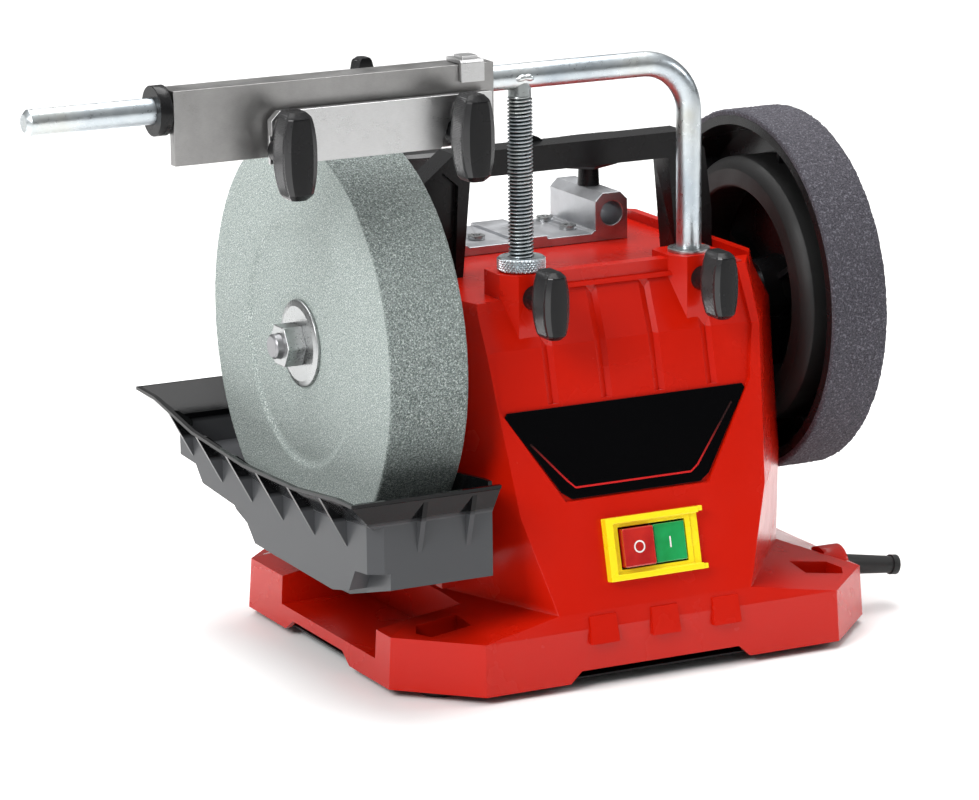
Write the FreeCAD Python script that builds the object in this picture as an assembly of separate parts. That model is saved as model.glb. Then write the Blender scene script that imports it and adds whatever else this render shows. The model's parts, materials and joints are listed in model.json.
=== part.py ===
import FreeCAD, Part
import math
import os

# Slow-speed wet stone grinder with a honing wheel.
# Frame: +X along the main shaft towards the honing wheel, -Y is the switch side, +Z up.
# The origin is the centre of the four bench bolts, at the level the rubber feet stand on.
# All sizes are in millimetres.

V = FreeCAD.Vector
X_DIR, Y_DIR, Z_DIR = V(1, 0, 0), V(0, 1, 0), V(0, 0, 1)

# ---- driving dimensions -------------------------------------------------------------
FIT = 0.05                      # radial running clearance
SHAFT_Z = 155.0                 # main shaft axis above the bench
SHAFT_R = 6.0                   # M12 shaft ends
JOURNAL_R = 8.0                 # shaft between the bushes

STONE_R, STONE_WIDTH = 100.0, 40.0
STONE_X = -135.5                # outer face of the stone
STONE_RECESS_R, STONE_RECESS = 57.0, 1.5

HONING_R, HONING_WIDTH = 90.0, 30.0
HONING_X = 106.5                # face of the honing wheel next to the housing
BELT_T = 3.0
RING_INNER_R, RING_OUTER_R = 51.5, 66.5
ROLLER_R = 5.0
ROLLER_GAP = 0.25
MOTOR_Z = SHAFT_Z - (RING_INNER_R - ROLLER_R - ROLLER_GAP)

FOOT_H = 4.0                    # feet below the base
BASE_HALF_X, BASE_HALF_Y, BASE_CORNER = 129.5, 114.0, 34.0
BASE_EDGE_Z = 29.0              # top of the base at its outer edge
HOUSING_FOOT_Z = 37.0           # where the housing rises from the base
BOLT_X, BOLT_Y, BOLT_R = 103.0, 82.0, 3.5
BOLTS = [(sx * BOLT_X, sy * BOLT_Y) for sx in (-1, 1) for sy in (-1, 1)]
FOOT_R, FOOT_SEAT_Z = 12.6, 7.0  # seats of the feet in the bottom cover
POCKET_Z = 21.0                 # floor of the sunk bolt seats
COVER_SCREWS = [(sx * 84.0, sy * 92.0) for sx in (-1, 1) for sy in (-1, 1)]
COVER_SCREWS += [(116.0, 20.0), (-112.0, -10.0)]
CHANNEL_Y0, CHANNEL_Y1, CHANNEL_Z = -64.0, 42.0, 15.0    # the step under the trough
WALL = 3.0

FRONT_FOOT_Y = -111.0
FRONT_SLOPE = 0.24              # the switch side leans back this much per mm of height
BEND_Z = 159.0                  # above this height the switch side leans back more
RECESS = 2.2                    # the ribbed field and the label lie this deep

TRAY_Z = 181.5                  # flat top of the housing
BOSS_Z = 193.5                  # top of the two leg bosses
BOSS_FRONT = 77.6               # front of the bosses, where the lock knobs seat
LEG_X = (-50.0, 40.0)
LEG_Y = -65.0
BAR_R = 6.0
BAR_Z = 285.5
BAR_END_X = -296.0
BAR_BEND_R = 25.0
LEG_BOTTOM_Z = 118.0
LOCK_Z = 182.5                  # lock knobs' axes
BUSH_LEFT_L, BUSH_RIGHT_L = 15.0, 10.0  # bearings of the main shaft
NUT_R, NUT_H = 11.5, 6.5

BRACKET_Y0, BRACKET_Y1 = 26.5, 75.0
BRACKET_BORE_X = (-42.2, 47.8)
BRACKET_BORE_Z = 195.2
BRACKET_TOP_Z = 205.5
BRACKET_KNOB_Y = 50.5
BRACKET_SCREWS = [(x, y) for x in (-19.0, 32.0) for y in (43.0, 68.0)]

HANDLE_Y0, HANDLE_Y1 = -16.0, 0.0
GRIP_Z0, GRIP_Z1 = 229.0, 241.5
HANDLE_SCREWS = [(-68.0, -8.0), (72.0, -8.0)]

JIG_X0, JIG_X1 = -228.0, -68.0
JIG_KNOB_X = (-178.5, -89.5)
JIG_KNOB_Z = 265.0
JIG_FACE_Y = -74.0
CLAMP_Y0, CLAMP_Y1, CLAMP_NOTCH = -82.0, -77.5, 2.8
JIG_LOCK_X = -121.0             # lock knob behind the jig
JIG_BACK = 10.5                 # half depth of the jig body round the bar

TROUGH_X0, TROUGH_X1 = -152.0, -90.5
TROUGH_RIM_X0 = -165.5
TROUGH_T = 2.0
HOUSING_LEFT_X, HOUSING_RIGHT_X = -84.0, 102.5
GUIDE_Y = (-46.0, 46.0)
TROUGH_Y0, TROUGH_Y1 = -112.0, 115.0
# height of the rim along Y
TROUGH_RIM = [(-122.0, 107.5), (-105.0, 107.0), (-60.0, 102.0), (0.0, 100.0), (60.0, 103.0), (106.0, 110.5),
              (129.0, 111.0)]
FLARE_DROP = 13.0               # the lip starts to flare this far below the rim
LEDGE_X = -143.0                # the deep part lies between here and the housing

SWITCH_X, SWITCH_Z = -3.0, 63.6
GLAND_Y, GLAND_Z, GLAND_R = -57.0, 24.0, 7.0

MOTOR_OPENING_Y, MOTOR_OPENING_Z = 31.0, (72.0, 135.0)
PLATE_SCREWS = [(y, z) for y in (-20.0, 22.0) for z in (66.0, 139.0)]
STATOR_X0, STATOR_X1 = 30.0, 78.0
BELL_R, BELL_FACE_X = 37.0, 91.0


# ---- helpers ------------------------------------------------------------------------
def box(x0, x1, y0, y1, z0, z1):
    return Part.makeBox(x1 - x0, y1 - y0, z1 - z0, V(x0, y0, z0))


def rod(radius, start, direction, length):
    return Part.makeCylinder(radius, length, start, direction)


def tube(outer, inner, start, direction, length):
    return rod(outer, start, direction, length).cut(rod(inner, start, direction, length))


def cone(r0, r1, start, direction, length):
    return Part.makeCone(r0, r1, length, start, direction)


def fuse(shapes):
    result = shapes[0]
    for shape in shapes[1:]:
        result = result.fuse(shape)
    return result.removeSplitter()


def group(shapes):
    return Part.makeCompound(shapes)


def prism(points, direction):
    """Extrude a closed polygon of vectors."""
    return Part.Face(Part.makePolygon(list(points) + [points[0]])).extrude(direction)


def prism_xz(points, y0, y1):
    return prism([V(x, y0, z) for x, z in points], V(0, y1 - y0, 0))


def prism_yz(points, x0, x1):
    return prism([V(x0, y, z) for y, z in points], V(x1 - x0, 0, 0))


def loft(sections):
    """Ruled solid through closed polygons given as (z, [(x, y), ...])."""
    wires = []
    for z, points in sections:
        corners = [V(x, y, z) for x, y in points]
        wires.append(Part.makePolygon(corners + [corners[0]]))
    return Part.makeLoft(wires, True, True)


def inset(points, distance):
    """Move each side of a convex anticlockwise polygon inwards."""
    count = len(points)
    lines = []
    for i in range(count):
        (ax, ay), (bx, by) = points[i], points[(i + 1) % count]
        length = math.hypot(bx - ax, by - ay)
        nx, ny = -(by - ay) / length, (bx - ax) / length
        lines.append((nx, ny, nx * ax + ny * ay + distance))
    moved = []
    for i in range(count):
        (a1, b1, c1), (a2, b2, c2) = lines[i - 1], lines[i]
        det = a1 * b2 - a2 * b1
        moved.append(((c1 * b2 - c2 * b1) / det, (a1 * c2 - a2 * c1) / det))
    return moved


def revolve_x(profile):
    """Solid of revolution about the main shaft from (x, radius) points."""
    points = [V(x, 0, r) for x, r in profile]
    face = Part.Face(Part.makePolygon(points + [points[0]]))
    solid = face.revolve(V(0, 0, 0), X_DIR, 360)
    solid.translate(V(0, 0, SHAFT_Z))
    return solid


def hexagon(across_flats, start, direction, length):
    """Hexagonal bar along X or Z."""
    corner = across_flats / math.sqrt(3)
    points = []
    for i in range(6):
        a, b = corner * math.cos(math.pi / 3 * i), corner * math.sin(math.pi / 3 * i)
        points.append(start + (V(0, a, b) if direction.x else V(a, b, 0)))
    return prism(points, direction * length)


def front_y(z):
    """Depth of the switch-side surface at a height, up to the bend."""
    return FRONT_FOOT_Y + FRONT_SLOPE * (z - HOUSING_FOOT_Z)


def up_front(z):
    """Distance up the leaning switch side from the housing's foot."""
    return (z - HOUSING_FOOT_Z) * math.hypot(1, FRONT_SLOPE)


def on_front(shape):
    """Lay a shape drawn against the plane y = 0 on the leaning switch side."""
    lean = math.degrees(math.atan(FRONT_SLOPE))
    shape.rotate(V(0, 0, 0), X_DIR, -lean)
    shape.translate(V(0, FRONT_FOOT_Y, HOUSING_FOOT_Z))
    return shape


def wing_knob(thickness, depth, height, stem_r, stem_l, bore_r=0.0):
    """Wing knob on the Y axis: its stem starts at y = 0 and the wing is towards -Y."""
    half_h, half_t, bow = height / 2, thickness / 2, 0.22 * thickness
    back, front = -stem_l, -stem_l - depth
    side = [(back, 0.32 * height), (back - 2.5, 0.42 * height), (front + 3, half_h), (front, 0.44 * height)]
    outline = side + [(y, -z) for y, z in reversed(side)]
    wing = prism_yz(outline, -half_t, half_t)
    for sx in (-1, 1):
        for sz in (-1, 1):
            corner = [(sx * half_t, sz * half_h), (sx * (half_t - bow), sz * half_h),
                      (sx * half_t, sz * 0.15 * height)]
            wing = wing.cut(prism_xz(corner, front - 1, 1))
    knob = wing.fuse(rod(stem_r, V(0, 0, 0), V(0, -1, 0), stem_l + 3))
    if bore_r:
        knob = knob.cut(rod(bore_r, V(0, 1, 0), V(0, -1, 0), stem_l + depth - 4))
    return knob.removeSplitter()


# ---- housing and base ---------------------------------------------------------------
def housing_outline(z, front_left, front_right, y_front, right_x, right_y0, right_y1,
                    back_right, back_left, y_back, left_x, left_y1, left_y0):
    return z, [(front_left, y_front), (front_right, y_front), (right_x, right_y0), (right_x, right_y1),
               (back_right, y_back), (back_left, y_back), (left_x, left_y1), (left_x, left_y0)]


def housing_sections():
    mid_z = 84.0
    left, right = HOUSING_LEFT_X, HOUSING_RIGHT_X
    return [
        housing_outline(HOUSING_FOOT_Z, -55.5, 48, FRONT_FOOT_Y, right, -42, 66, 60, -60, 102, -80, 66, -44),
        housing_outline(mid_z, -69.5, 62, front_y(mid_z), right, -44, 70, 66, -70, 97, left, 68, -64),
        housing_outline(BEND_Z, -77, 69, front_y(BEND_Z), right, -34, 72, 72, -77, 91, left, 72, -60),
        housing_outline(177, -78, 68.5, -74.5, 90, -40, 72, 72, -76, 87, -83, 72, -57),
        housing_outline(186, -77, 67.5, -71, 85.5, -44, 70, 70, -74, 84, -80, 70, -55),
    ]


def base_octagon(grow=0.0):
    hx, hy = BASE_HALF_X + grow, BASE_HALF_Y + grow
    cut = BASE_CORNER + 0.586 * grow
    return [(-hx + cut, -hy), (hx - cut, -hy), (hx, -hy + cut), (hx, hy - cut),
            (hx - cut, hy), (-hx + cut, hy), (-hx, hy - cut), (-hx, -hy + cut)]


def base_solid():
    foot = housing_sections()[0][1]
    body = loft([(FOOT_H, base_octagon()), (BASE_EDGE_Z, base_octagon(-1.5)), (HOUSING_FOOT_Z, foot)])
    return body.cut(box(-140, HOUSING_LEFT_X, CHANNEL_Y0, CHANNEL_Y1, CHANNEL_Z, 60))


def base_cavity():
    foot = inset(housing_sections()[0][1], WALL)
    octagon = base_octagon(-WALL)
    body = loft([(FOOT_H - 1, octagon), (BASE_EDGE_Z - WALL, octagon), (HOUSING_FOOT_Z - WALL + 1, foot)])
    roof = box(-140, HOUSING_LEFT_X + WALL, CHANNEL_Y0 - WALL, CHANNEL_Y1 + WALL, CHANNEL_Z - WALL, 60)
    return body.cut(roof)


def housing_cavity():
    front_extra = 3.0
    sections = []
    for z, points in housing_sections()[:4]:
        inner = inset(points, WALL)
        for i in (0, 1):
            inner[i] = (inner[i][0], inner[i][1] + front_extra)
        sections.append((z, inner))
    sections[0] = (HOUSING_FOOT_Z - WALL - 1, sections[0][1])
    last = sections[-1][1]
    return loft(sections + [(TRAY_Z - WALL, last)])


def front_field(outer):
    """Skin to remove for the sunk field that carries the grooves and the label."""
    outline = [(-45, 88), (32, 88), (60.5, 133), (65, 158), (63, 184), (-72, 184), (-74.5, 158), (-74, 133)]
    window = prism_xz(outline, -125, -40)
    return window.common(outer.cut(outer.translated(V(0, RECESS, 0))))


def front_grooves():
    first_x, pitch, count = -43.0, 28.4, 4
    stations = [(132.5, front_y(132.5)), (BEND_Z, front_y(BEND_Z)), (184.0, -71.8)]
    grooves = []
    for i in range(count):
        x = first_x + pitch * i
        wires = []
        for z, y in stations:
            face_y = y + RECESS
            corners = [V(x - 5.5, face_y - 0.6, z), V(x + 2.2, face_y - 0.6, z), V(x - 0.6, face_y + 2.0, z)]
            wires.append(Part.makePolygon(corners + [corners[0]]))
        grooves.append(Part.makeLoft(wires, True, True))
    return grooves


def trough_guides():
    """Two vertical channels on the housing that hold the trough's T-shaped tongues."""
    z0, z1 = 42.0, 112.0
    shapes = []
    for y in GUIDE_Y:
        for side in (-1, 1):
            wall = sorted((y + side * 8.5, y + side * 11.5))
            lip = sorted((y + side * 4.6, y + side * 11.5))
            shapes.append(box(-90.0, HOUSING_LEFT_X + 1, wall[0], wall[1], z0, z1))
            shapes.append(box(-90.0, -88.4, lip[0], lip[1], z0, z1))
    return shapes


def housing_shell():
    outer = loft(housing_sections())
    outer = outer.cut(front_field(outer))
    for groove in front_grooves():
        outer = outer.cut(groove)
    tray = [(-95, 100), (81, 100), (81, -56), (-64, -56), (-64, -75), (-95, -75)]
    outer = outer.cut(prism([V(x, y, TRAY_Z) for x, y in reversed(tray)], V(0, 0, 20)))

    band = prism_xz([(-64, TRAY_Z - 6), (66.5, TRAY_Z - 6), (66.5, 187), (56, 192), (-64, 192)], -69.5, -62.5)
    bosses = []
    for x in LEG_X:
        plan = [(x - 14, -54), (x - 11, -51), (x + 11, -51), (x + 14, -54), (x + 14, -70),
                (x + 8, -BOSS_FRONT), (x - 8, -BOSS_FRONT), (x - 14, -70)]
        bosses.append(loft([(TRAY_Z - 48, plan), (BOSS_Z, plan)]))
        bosses.append(rod(12, V(x, LEG_Y, LEG_BOTTOM_Z), Z_DIR, BOSS_Z - LEG_BOTTOM_Z))
    body = fuse([base_solid(), outer, band])

    hollow = housing_cavity().fuse(base_cavity())
    body = body.cut(hollow)
    shaft_bosses = [rod(15, V(HOUSING_LEFT_X + 1, 0, SHAFT_Z), X_DIR, BUSH_LEFT_L),
                    rod(15, V(HOUSING_RIGHT_X - BUSH_RIGHT_L, 0, SHAFT_Z), X_DIR, BUSH_RIGHT_L - 1)]
    base = base_solid()
    posts = [rod(14.5, V(x, y, FOOT_H), Z_DIR, 8) for x, y in BOLTS]
    posts += [rod(9, V(x, y, FOOT_H), Z_DIR, 16) for x, y in BOLTS]
    tubs = [prism(pocket_outline(x, y, POCKET_Z - 2.5, 2.5), V(0, 0, 20)).common(base) for x, y in BOLTS]
    cover_posts = [rod(4, V(x, y, 6.0), Z_DIR, 30).common(base) for x, y in COVER_SCREWS]
    body = fuse([body] + bosses + shaft_bosses + posts + tubs + cover_posts + trough_guides() + base_trim())

    cuts = [rod(8.0, V(x, LEG_Y, LEG_BOTTOM_Z - 1), Z_DIR, 90) for x in LEG_X]
    for x in LEG_X:
        cuts.append(rod(3.2, V(x, -82, LOCK_Z), Y_DIR, 14))
    cuts.append(rod(11, V(HOUSING_LEFT_X - 1, 0, SHAFT_Z), X_DIR, 30))
    cuts.append(rod(11, V(HOUSING_RIGHT_X - 20, 0, SHAFT_Z), X_DIR, 30))
    for x, y in BOLTS:
        cuts.append(rod(BOLT_R, V(x, y, 0), Z_DIR, 60))
        cuts.append(rod(FOOT_R, V(x, y, 0), Z_DIR, FOOT_SEAT_Z))
        cuts.append(prism(pocket_outline(x, y, POCKET_Z, 0), V(0, 0, 30)))
    for x, y in COVER_SCREWS:
        cuts.append(rod(1.6, V(x, y, 0), Z_DIR, 12.5))
    cuts.append(box(95, 110, -MOTOR_OPENING_Y, MOTOR_OPENING_Y, *MOTOR_OPENING_Z))
    cuts += [rod(2.0, V(95, y, z), X_DIR, 20) for y, z in PLATE_SCREWS]
    cuts.append(on_front(box(SWITCH_X - 23, SWITCH_X + 23, -5, 20, SWITCH_S - 12.5, SWITCH_S + 12.5)))
    cuts += skirt_arches()
    cuts += [rod(2.0, V(x, y, TRAY_Z - 6), Z_DIR, 10) for x, y in BRACKET_SCREWS + HANDLE_SCREWS]
    cuts.append(rod(GLAND_R, V(118, GLAND_Y, GLAND_Z), X_DIR, 20))
    for cut in cuts:
        body = body.cut(cut)
    return body.removeSplitter()


def pocket_outline(x, y, z, grow):
    """Outline of the sunk seat for a bench bolt, pointed towards the base's side."""
    sx = math.copysign(1, x)
    corners = [(x - sx * (12 + grow), y - 8 - grow), (x + sx * 9, y - 8 - grow), (x + sx * (13 + grow), y),
               (x + sx * 9, y + 8 + grow), (x - sx * (12 + grow), y + 8 + grow)]
    return [V(px, py, z) for px, py in corners]


SWITCH_S = up_front(SWITCH_Z)    # the switch's place along the sloping face


def base_trim():
    """Lugs on the front skirt and the raised collar round the cable gland."""
    lugs = []
    for x in (-33.0, 0.0, 33.0):
        lugs.append(loft([(22, [(x - 7.5, -115.6), (x + 7.5, -115.6), (x + 7.5, -112), (x - 7.5, -112)]),
                          (35, [(x - 7.0, -112.4), (x + 7.0, -112.4), (x + 7.0, -110), (x - 7.0, -110)])]))
    collar = rod(GLAND_R + 3.5, V(BASE_HALF_X - 12, GLAND_Y, GLAND_Z), X_DIR, 12)
    return lugs + [collar]


def skirt_arches():
    rise = 9.5
    front = [(-52, 3), (-45, rise), (40, rise), (47, 3)]
    side = [(-38, 3), (-28, rise), (28, rise), (38, 3)]
    return [prism_xz(front, -120, -109), prism_xz(front, 109, 120),
            prism_yz(side, -140, -125), prism_yz(side, 125, 140)]


def bottom_cover():
    plate = loft([(5.0, base_octagon(-WALL - 0.5)), (6.0, base_octagon(-WALL - 0.5))])
    for x, y in BOLTS:
        plate = plate.cut(rod(15, V(x, y, 0), Z_DIR, 20))
    for x, y in COVER_SCREWS:
        plate = plate.cut(rod(1.6, V(x, y, 0), Z_DIR, 20))
    for i in range(7):
        y = -36 + 12 * i
        plate = plate.cut(box(-28, 28, y - 2, y + 2, 4, 7))
    return plate


def screw(head_r, head_h, shank_r, length, at, direction, recess_r=0.0):
    """Screw with its head's underside at a point and its shank along direction."""
    head = rod(head_r, at, direction * -1, head_h)
    if recess_r:
        head = head.cut(rod(recess_r, at + direction * -head_h, direction, head_h * 0.6))
    return head.fuse(rod(shank_r, at, direction, length)).removeSplitter()


def cover_screws():
    return group([screw(3.2, 1.0, 1.55, 7, V(x, y, 5.0), Z_DIR) for x, y in COVER_SCREWS])


def rubber_feet():
    feet = []
    for x, y in BOLTS:
        at = V(x, y, 0)
        foot = cone(FOOT_R - 1.6, FOOT_R, at, Z_DIR, 3.5)
        foot = foot.fuse(rod(FOOT_R, at + V(0, 0, 3.5), Z_DIR, FOOT_SEAT_Z - 3.5))
        feet.append(foot.cut(rod(BOLT_R, at - V(0, 0, 1), Z_DIR, 12)).removeSplitter())
    return group(feet)


def label_panel():
    low, high = up_front(89.0), up_front(131.5)
    outline = [(-41, low), (28, low), (33, low + 3.5), (57.6, high - 2), (56.4, high), (-69.6, high),
               (-70.8, high - 2), (-46, low + 3.5)]
    depth = RECESS * math.cos(math.atan(FRONT_SLOPE))
    return on_front(prism_xz(outline, depth - 1.2, depth))


# ---- switch -------------------------------------------------------------------------
def switch_frame():
    x, s = SWITCH_X, SWITCH_S
    frame = box(x - 25, x + 25, -4.5, 0, s - 15.0, s + 15.0)
    frame = frame.cut(box(x - 18, x + 18, -10, 5, s - 10, s + 10))
    frame = frame.cut(box(x - 21, x + 21, -6, -2.5, s - 12, s + 12))
    frame = frame.cut(box(x + 21, x + 26, -6, -2.0, s - 12, s + 12))
    ears = [box(x + 23, x + 27.5, -4.0, -1.0, z - 1.25, z + 1.25) for z in (s - 13.75, s + 13.75)]
    return on_front(fuse([frame] + ears))


def switch_body():
    x, s = SWITCH_X, SWITCH_S
    body = box(x - 22.7, x + 22.7, 0, 26, s - 12.2, s + 12.2)
    pockets = [box(x - 17.6, x - 0.4, -1, 9, s - 9.6, s + 9.6), box(x + 0.4, x + 17.6, -1, 9, s - 9.6, s + 9.6)]
    for pocket in pockets:
        body = body.cut(pocket)
    blades = [box(x - 14 + 8 * i, x - 12 + 8 * i, 26, 34, s - 3, s + 3) for i in range(4)]
    return on_front(fuse([body] + blades))


def push_button(x0, x1, proud):
    s = SWITCH_S
    cap = box(x0, x1, -proud, 4.5, s - 9.2, s + 9.2)
    return on_front(cap)


# ---- carry handle -------------------------------------------------------------------
def carry_handle():
    top, low = GRIP_Z1, GRIP_Z0
    foot = TRAY_Z
    outline = [(-80, foot), (-56, foot), (-51.5, low), (56.5, low), (60.5, foot), (80.5, foot),
               (80.5, foot + 20), (76.5, low + 3), (66, top), (-60, top), (-76, low), (-80, foot + 24)]
    body = prism_xz(outline, HANDLE_Y0, HANDLE_Y1)
    outline = [(-76, foot + 3), (-60, foot + 3), (-58, low - 3), (-66, low + 4), (-74, low - 6)]
    groove = prism_xz(outline, -19, -12.5)
    body = body.cut(groove)
    underside = box(-46, 50, HANDLE_Y0 + 3, HANDLE_Y1 - 3, low - 1, low + 5)
    body = body.cut(underside)
    lug = rod(8, V(-13, HANDLE_Y1 - 5.0, top - 5), Y_DIR, 5.0)
    lug = lug.common(box(-30, 0, HANDLE_Y1 - 6, HANDLE_Y1, top - 3, top + 4))
    body = body.fuse(lug)
    for x, y in HANDLE_SCREWS:
        body = body.cut(rod(2.0, V(x, y, foot - 1), Z_DIR, 14))
    return body.removeSplitter()


def handle_screws():
    return group([screw(3.6, 2.0, 1.95, 13, V(x, y, TRAY_Z - WALL), Z_DIR) for x, y in HANDLE_SCREWS])


# ---- horizontal support bracket -----------------------------------------------------
def support_bracket():
    flange_z = TRAY_Z + 5.5
    x_left, x_right = BRACKET_BORE_X
    flange = prism_xz([(x_left, TRAY_Z), (x_right, TRAY_Z), (x_right, flange_z), (x_right - 10, flange_z),
                       (x_right - 11, flange_z - 1.2), (12, flange_z - 1.2), (12, flange_z + 0.4),
                       (-6, flange_z + 0.4), (-6, flange_z - 1.2), (x_left + 11, flange_z - 1.2),
                       (x_left + 10, flange_z), (x_left, flange_z)], BRACKET_Y0, BRACKET_Y1)
    blocks = []
    for x in BRACKET_BORE_X:
        outline = [(x - 9, TRAY_Z), (x + 9, TRAY_Z), (x + 9, BRACKET_TOP_Z - 4), (x + 5, BRACKET_TOP_Z),
                   (x - 5, BRACKET_TOP_Z), (x - 9, BRACKET_TOP_Z - 4)]
        blocks.append(prism_xz(outline, BRACKET_Y0, BRACKET_Y1))
    body = fuse([flange] + blocks)
    for x in BRACKET_BORE_X:
        body = body.cut(rod(BAR_R + 0.1, V(x, BRACKET_Y0 - 1, BRACKET_BORE_Z), Y_DIR, 60))
        body = body.cut(rod(3.2, V(x, BRACKET_KNOB_Y, BRACKET_BORE_Z + 3), Z_DIR, 15))
    for x, y in BRACKET_SCREWS:
        body = body.cut(rod(2.0, V(x, y, TRAY_Z - 1), Z_DIR, 12))
    return body.removeSplitter()


def bracket_screws():
    top = TRAY_Z + 4.3
    return group([screw(4.2, 2.2, 1.95, 9.5, V(x, y, top), V(0, 0, -1), 2.0) for x, y in BRACKET_SCREWS])


def bracket_knob(x):
    knob = wing_knob(14, 17, 34, 5.5, 7.5)
    knob = knob.fuse(rod(3.0, V(0, 0, 0), Y_DIR, 3.6))
    knob.rotate(V(0, 0, 0), X_DIR, -90)
    knob.rotate(V(0, 0, 0), Z_DIR, 90)
    knob.translate(V(x, BRACKET_KNOB_Y, BRACKET_TOP_Z + 0.2))
    return knob


# ---- tool support -------------------------------------------------------------------
def leg_bush(x, flange_h):
    start = V(x, LEG_Y, LEG_BOTTOM_Z + 4)
    bush = tube(8.0, BAR_R + FIT, start, Z_DIR, BOSS_Z - start.z)
    if flange_h:
        bush = bush.fuse(tube(10.2, BAR_R + FIT, V(x, LEG_Y, BOSS_Z), Z_DIR, flange_h))
    return bush.cut(rod(3.2, V(x, -82, LOCK_Z), Y_DIR, 12)).removeSplitter()


def lock_knob(x):
    knob = wing_knob(14, 17, 32, 6.0, 7.5)
    knob = knob.fuse(rod(3.0, V(0, -1, 0), Y_DIR, BOSS_FRONT + LEG_Y - BAR_R + 0.8))
    knob.translate(V(x, -BOSS_FRONT - 0.2, LOCK_Z))
    return knob.removeSplitter()


def support_bar():
    """Round bar: free left end, long horizontal run, bend and plain right leg."""
    x_leg, y, r = LEG_X[1], LEG_Y, BAR_BEND_R
    start, corner = V(BAR_END_X, y, BAR_Z), V(x_leg - r, y, BAR_Z)
    down, end = V(x_leg, y, BAR_Z - r), V(x_leg, y, LEG_BOTTOM_Z)
    middle = V(x_leg - r + r * math.sin(math.pi / 4), y, BAR_Z - r + r * math.cos(math.pi / 4))
    path = Part.Wire([Part.LineSegment(start, corner).toShape(), Part.Arc(corner, middle, down).toShape(),
                      Part.LineSegment(down, end).toShape()])
    profile = Part.Wire(Part.makeCircle(BAR_R, start, X_DIR))
    bar = path.makePipeShell([profile], True, False)
    tip = rod(BAR_R + 1, start, X_DIR, 2).cut(cone(BAR_R - 2, BAR_R, start, X_DIR, 2))
    return bar.cut(tip)


def threaded_leg():
    x = LEG_X[0]
    top = BAR_Z - BAR_R
    leg = rod(BAR_R, V(x, LEG_Y, LEG_BOTTOM_Z), Z_DIR, BAR_Z - LEG_BOTTOM_Z)
    weld = cone(BAR_R, BAR_R + 2.2, V(x, LEG_Y, top - 3), Z_DIR, 4.5)
    bar_hole = rod(BAR_R, V(x - 30, LEG_Y, BAR_Z), X_DIR, 60)
    top_half = box(x - 20, x + 20, LEG_Y - 20, LEG_Y + 20, BAR_Z, BAR_Z + 20)
    return leg.fuse(weld).cut(bar_hole).cut(top_half).removeSplitter()


def adjusting_nut():
    at = V(LEG_X[0], LEG_Y, BOSS_Z + 0.2)
    nut = tube(NUT_R, BAR_R + FIT, at, Z_DIR, NUT_H)
    return nut.cut(cone(BAR_R + 1.6, BAR_R, at + V(0, 0, NUT_H - 1.6), Z_DIR, 1.6).cut(
        rod(BAR_R + FIT, at, Z_DIR, NUT_H)))


# ---- blade jig on the bar -----------------------------------------------------------
def jig_bushes():
    outer, inner = 8.2, BAR_R + FIT
    left = tube(outer, inner, V(JIG_X0 - 1, LEG_Y, BAR_Z), X_DIR, 26)
    left = left.fuse(tube(11.5, inner, V(JIG_X0 - 7, LEG_Y, BAR_Z), X_DIR, 6))
    right = tube(outer, inner, V(JIG_X1 - 25, LEG_Y, BAR_Z), X_DIR, 25)
    liner = tube(outer - 1.0, inner, V(JIG_X0, LEG_Y, BAR_Z), X_DIR, JIG_X1 - JIG_X0)
    lock_slot = rod(4.0, V(JIG_LOCK_X, LEG_Y, BAR_Z), Y_DIR, 20)
    return fuse([left, right, liner]).cut(lock_slot)


def jig_body():
    top, split, low = BAR_Z + 9.5, BAR_Z - 10.5, 261.0
    back = LEG_Y + JIG_BACK
    section = [(JIG_FACE_Y, low), (JIG_FACE_Y + 5, low), (JIG_FACE_Y + 5, split), (back - 3.5, split),
               (back, split + 4), (back, top - 4), (back - 4, top), (JIG_FACE_Y, top)]
    body = prism_yz(section, JIG_X0, JIG_X1)
    body = body.cut(rod(8.2 + FIT, V(JIG_X0 - 1, LEG_Y, BAR_Z), X_DIR, JIG_X1 - JIG_X0 + 2))
    body = body.cut(rod(3.2, V(JIG_LOCK_X, LEG_Y, BAR_Z), Y_DIR, 30))
    for x in JIG_KNOB_X:
        body = body.cut(rod(3.0, V(x, JIG_FACE_Y - 1, JIG_KNOB_Z), Y_DIR, 8))
    return body


def jig_studs():
    return group([rod(3.0, V(x, JIG_FACE_Y - 20, JIG_KNOB_Z), Y_DIR, 25) for x in JIG_KNOB_X])


def jig_clamp_plate():
    """Clamp bar with two seats, open at the bottom, where the wing knobs press."""
    x0, x1, z0, z1 = -184.0, -73.0, 258.5, 283.0
    plate = prism_xz([(x0, z0), (x1, z0), (x1, z1), (x0 + 4, z1), (x0, z1 - 4)], CLAMP_Y0, CLAMP_Y1)
    for x in JIG_KNOB_X:
        seat = prism_xz([(x - 10, z0 - 1), (x + 10, z0 - 1), (x + 12, z1 - 8), (x + 8, z1 - 3.5), (x - 3, z1 - 3.5)],
                        CLAMP_Y0 - 1, CLAMP_Y0 + CLAMP_NOTCH)
        plate = plate.cut(seat)
        plate = plate.cut(rod(3.3, V(x, CLAMP_Y0 - 1, JIG_KNOB_Z), Y_DIR, 8))
    return plate


def jig_knob(x):
    knob = wing_knob(17, 16, 40, 6.5, 7.0, 3.0 + FIT)
    knob.translate(V(x, CLAMP_Y0 + CLAMP_NOTCH, JIG_KNOB_Z))
    return knob


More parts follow.
